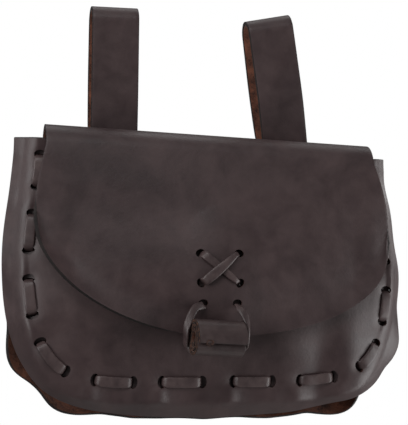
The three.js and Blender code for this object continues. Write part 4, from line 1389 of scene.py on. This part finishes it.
@dataclass
class BeltLoop:
    """One strap doubled over the belt, laced to the back panel by both ends."""

    form: PouchForm
    side: Side
    x: float
    lean: float
    width: float = 26.5
    half_gap: float = 8.0
    base: float = -121.0
    pivot: float = -103.0
    raised: float = 1.8
    skew: float = 0.0
    bow: float = 0.8
    edge_round: float = 0.35
    columns: int = 12
    # Spacing of the strap's points and of its lace's
    spacing: Pair = (1.2, 0.8)
    # The hidden lace: half its stitches' distance, their span, and the thong's width and thickness
    lace_half: float = 6.5
    lace_span: Pair = (-101.0, -114.0)
    lace_size: Pair = (5.8, 1.8)

    def turn(self) -> Matrix:
        """The strap's lean about the place where it is laced."""
        return (Matrix.Translation((self.x * MM, 0, self.pivot * MM))
                @ Matrix.Rotation(math.radians(self.lean), 4, "Y")
                @ Matrix.Translation((0, 0, -self.pivot * MM)))

    def build(self, finishes: Finishes) -> bpy.types.Object:
        """Models the strap, its grain side out and its flesh side in the belt's way.

        Args:
            finishes: grain, flesh side, cut edge and hole wall.

        Returns:
            The strap.
        """
        # Its side view, y and z: up the front, over the belt and down to the lap behind the pouch
        r = self.half_gap
        arc = [(-r * math.cos(a), self.raised - 7 + r * math.sin(a))
               for a in np.linspace(0, np.pi, 9)]
        rows = [(-r, self.base), (-r, -104), (-r, -82), (-r - 0.6 * self.bow, -64),
                (-r - self.bow, -46), (-r - 0.5 * self.bow, -24), *arc,
                (r + 0.4, -20), (r + 0.6, -34), (r - 0.1, -48), (r - 1.5, -62), (r - 4.2, -72),
                (r - 7, -80), (-4.35, -93), (-5.65, -98), (-5.65, -109), (-5.65, self.base)]
        path = spline(np.array([[0, y, z] for y, z in rows], float), self.spacing[0])

        def strap(along: np.ndarray, across: np.ndarray) -> np.ndarray:
            """Surface of the strap.

            Args:
                along: row of the path.
                across: -0.5 at the left edge to 0.5 at the right.

            Returns:
                Points of the strip's middle, before its lean.
            """
            row = np.arange(len(path))
            y, z = np.interp(along, row, path[:, 1]), np.interp(along, row, path[:, 2])
            z = z + self.skew * across * self.width * smooth(z, -60, 0)
            return stack(across * self.width, y, z)

        last = len(path) - 1
        mesh = sheet_bmesh(strap, (0, last, last), (-0.5, 0.5, self.columns), (0, 0, 1))
        bmesh.ops.transform(mesh, matrix=self.turn(), verts=mesh.verts)
        name = f"belt_loop_{self.side.name.lower()}_strap"
        loop = to_object(name, mesh, finishes)
        thicken(loop, self.form.hide, self.edge_round)
        bake_shape(loop)
        return loop

    def lace(self, finish: bpy.types.Material) -> bpy.types.Object:
        """Models the short hidden thong that holds both ends of the strap to the back.

        Args:
            finish: the thong's leather.

        Returns:
            The thong's two stitches as one piece.
        """
        inside = self.form.back_y - 2.25
        outside = -self.half_gap + 4.6
        a, (top, low) = self.lace_half, self.lace_span
        mesh = bmesh.new()
        knots = np.array([[-a, inside - 1.5, top, 1, 0, 0], [-a, outside, top, 1, 0, 0],
                          [-a, outside, low, 1, 0, 0], [-a, inside, low, 1, 0, 0],
                          [-a, inside - 0.4, low - 4.0, 1, 0, 0]], float)
        for mirror in (1, -1):
            rows = knots.copy()
            rows[:, 0] *= mirror
            path = spline(rows, self.spacing[1])
            part = thong_bmesh(path[:, :3], path[:, 3:6], *self.lace_size)
            joined = bpy.data.meshes.new("part")
            part.to_mesh(joined)
            part.free()
            mesh.from_mesh(joined)
            bpy.data.meshes.remove(joined)
        bmesh.ops.transform(mesh, matrix=self.turn(), verts=mesh.verts)
        return to_object(f"loop_lace_{self.side.name.lower()}_thong", mesh, [finish])


@dataclass
class Studio:
    """Pale floor, soft light from both sides and the camera at the photograph's angle."""

    target: Triple = (-4.9, -35.0, -112.0)
    azimuth: float = -12.0
    roll: float = 1.0
    distance: float = 700.0
    mm_per_pixel: float = 0.55
    long_side: int = 425
    sensor: float = 36.0
    floor_z: float = -1500.0
    floor_y: float = -50.0
    floor_half: float = 550.0
    even_light: float = 0.14
    # Each softbox: name, place and size in metres, power in watts
    lights: tuple[tuple[str, Triple, Pair, float], ...] = (
        ("left_softbox", (-1.12, -0.62, 0.12), (0.6, 0.9), 9),
        ("right_softbox", (1.1, -0.3, -0.45), (0.9, 1.1), 12.5),
        ("top_key", (-0.35, -0.9, 1.0), (0.8, 0.5), 5.5),
        ("top_back", (0.1, 0.5, 1.1), (0.9, 0.5), 3),
        ("left_backdrop", (-0.85, 0.5, 0.35), (0.6, 0.8), 2),
        ("right_backdrop", (0.85, 0.5, 0.35), (0.6, 0.8), 3))

    def camera(self) -> None:
        """Sets the camera up level with the pouch, a little to its left."""
        turn, roll = math.radians(self.azimuth), math.radians(self.roll)
        back = Vector((math.sin(turn), -math.cos(turn), 0))
        level, up = Vector((math.cos(turn), math.sin(turn), 0)), Vector((0, 0, 1))
        right = level * math.cos(roll) + up * math.sin(roll)
        top = up * math.cos(roll) - level * math.sin(roll)
        data = bpy.data.cameras.new("camera")
        data.sensor_width = self.sensor
        data.lens = self.distance / self.mm_per_pixel * self.sensor / self.long_side
        made = bpy.data.objects.new("camera", data)
        bpy.context.scene.collection.objects.link(made)
        place = Matrix((right, top, back)).transposed().to_4x4()
        place.translation = (Vector(self.target) + back * self.distance) * MM
        made.matrix_world = place
        bpy.context.scene.camera = made

    def light(self, name: str, place: Triple, size: Pair, power: float) -> None:
        """Adds one softbox that faces the pouch.

        Args:
            name: the light's name.
            place: where it stands, in metres.
            size: its width and height, in metres.
            power: its power in watts.
        """
        data = bpy.data.lights.new(name, "AREA")
        data.shape = "RECTANGLE"
        data.size, data.size_y = size
        data.energy = power
        made = bpy.data.objects.new(name, data)
        bpy.context.scene.collection.objects.link(made)
        made.location = place
        aim = Vector(self.target) * MM - Vector(place)
        made.rotation_mode = "QUATERNION"
        made.rotation_quaternion = aim.to_track_quat("-Z", "Y")

    def world(self) -> None:
        """White to the camera, a dimmer even light to the leather."""
        world = bpy.data.worlds.new("studio")
        world.use_nodes = True
        tree = world.node_tree
        tree.nodes.clear()
        seen = add(tree, "ShaderNodeLightPath").outputs["Is Camera Ray"]
        even = add(tree, "ShaderNodeBackground", {"Color": (1, 1, 1, 1),
                   "Strength": self.even_light})
        white = add(tree, "ShaderNodeBackground", {"Color": (1, 1, 1, 1), "Strength": 1.0})
        mix = add(tree, "ShaderNodeMixShader", {0: seen, 1: even.outputs[0], 2: white.outputs[0]})
        add(tree, "ShaderNodeOutputWorld", {"Surface": mix.outputs[0]})
        bpy.context.scene.world = world

    def floor(self) -> None:
        """Adds the pale floor, below the picture."""
        mesh = bmesh.new()
        place = Matrix.Translation(Vector((0, self.floor_y, self.floor_z)) * MM)
        bmesh.ops.create_grid(mesh, x_segments=2, y_segments=2, size=self.floor_half * MM,
                              matrix=place)
        material, tree = new_tree("painted_studio_floor")
        shader = add(tree, "ShaderNodeBsdfPrincipled", {"Base Color": linear("#e9e7e4"),
                     "Roughness": 0.7})
        add(tree, "ShaderNodeOutputMaterial", {"Surface": shader.outputs[0]})
        to_object("studio_floor", mesh, [material])

    def build(self) -> None:
        """Sets the whole studio up."""
        self.floor()
        self.world()
        for softbox in self.lights:
            self.light(*softbox)
        self.camera()
        bpy.context.scene.view_settings.view_transform = "Standard"


def main() -> None:
    """Builds the pouch piece by piece, then the studio."""
    logging.basicConfig(level=logging.INFO, format="%(name)s %(message)s")
    grain = WaxedGrain("waxed_cowhide_grain").material()
    flesh = FleshSide("raw_cowhide_flesh").material()
    cut = CutEdge("cut_cowhide_edge").material()
    thong = WaxedGrain("waxed_thong_leather", deep="#302526", body="#403334", bloom="#564746",
                       roughness=0.42, smudge_mm=5.0, grain_mm=0.9).material()
    rolled = WaxedGrain("burnished_toggle_leather", deep="#302425", body="#3a2d2d",
                        bloom="#4c3e3d", roughness=0.4, smudge_mm=6.0).material()
    raw_edge = CutEdge("raw_cowhide_edge", dark="#1d0f0b", light="#6a4430",
                       fleck_mm=1.4, roughness=0.85).material()
    hole = CutEdge("punched_hole_wall", dark="#2c1512", light="#4a2820", roughness=0.9).material()
    tie_end = CutEdge("cut_thong_end", dark="#24120e", light="#5e3c2c", fleck_mm=1.6,
                      roughness=0.8).material()
    walls = [grain, flesh, cut, hole]

    form = PouchForm()
    lacing = Lacing(form)
    front = FrontPanel(form, lacing)
    seat(front.build(walls), Slot.PANEL, "front_panel")
    seat(front.lace(thong), Slot.THONG, "front_lace")
    back = BackSheet(form, lacing)
    seat(back.build(walls), Slot.PANEL, "back_flap")
    seat(back.lace(thong), Slot.THONG, "back_lace")
    seat(Gusset(form, lacing).build(walls), Slot.PANEL, "gusset")
    closure = Closure(form)
    seat(closure.lace(thong), Slot.THONG, "closure_lace")
    seat(closure.toggle([rolled, flesh, raw_edge, cut]), Slot.TOGGLE, "toggle")
    seat(closure.tie(tie_end), Slot.THONG, "toggle_tie")
    loops = (BeltLoop(form, Side.LEFT, -51.8, 0.0),
             BeltLoop(form, Side.RIGHT, 52.2, -8.0, raised=0.9, skew=0.06, bow=2.6))
    for loop in loops:
        name = loop.side.name.lower()
        seat(loop.build(walls), Slot.PANEL, f"belt_loop_{name}")
        seat(loop.lace(thong), Slot.THONG, f"loop_lace_{name}")
    Studio().build()


if __name__ == "__main__":
    main()
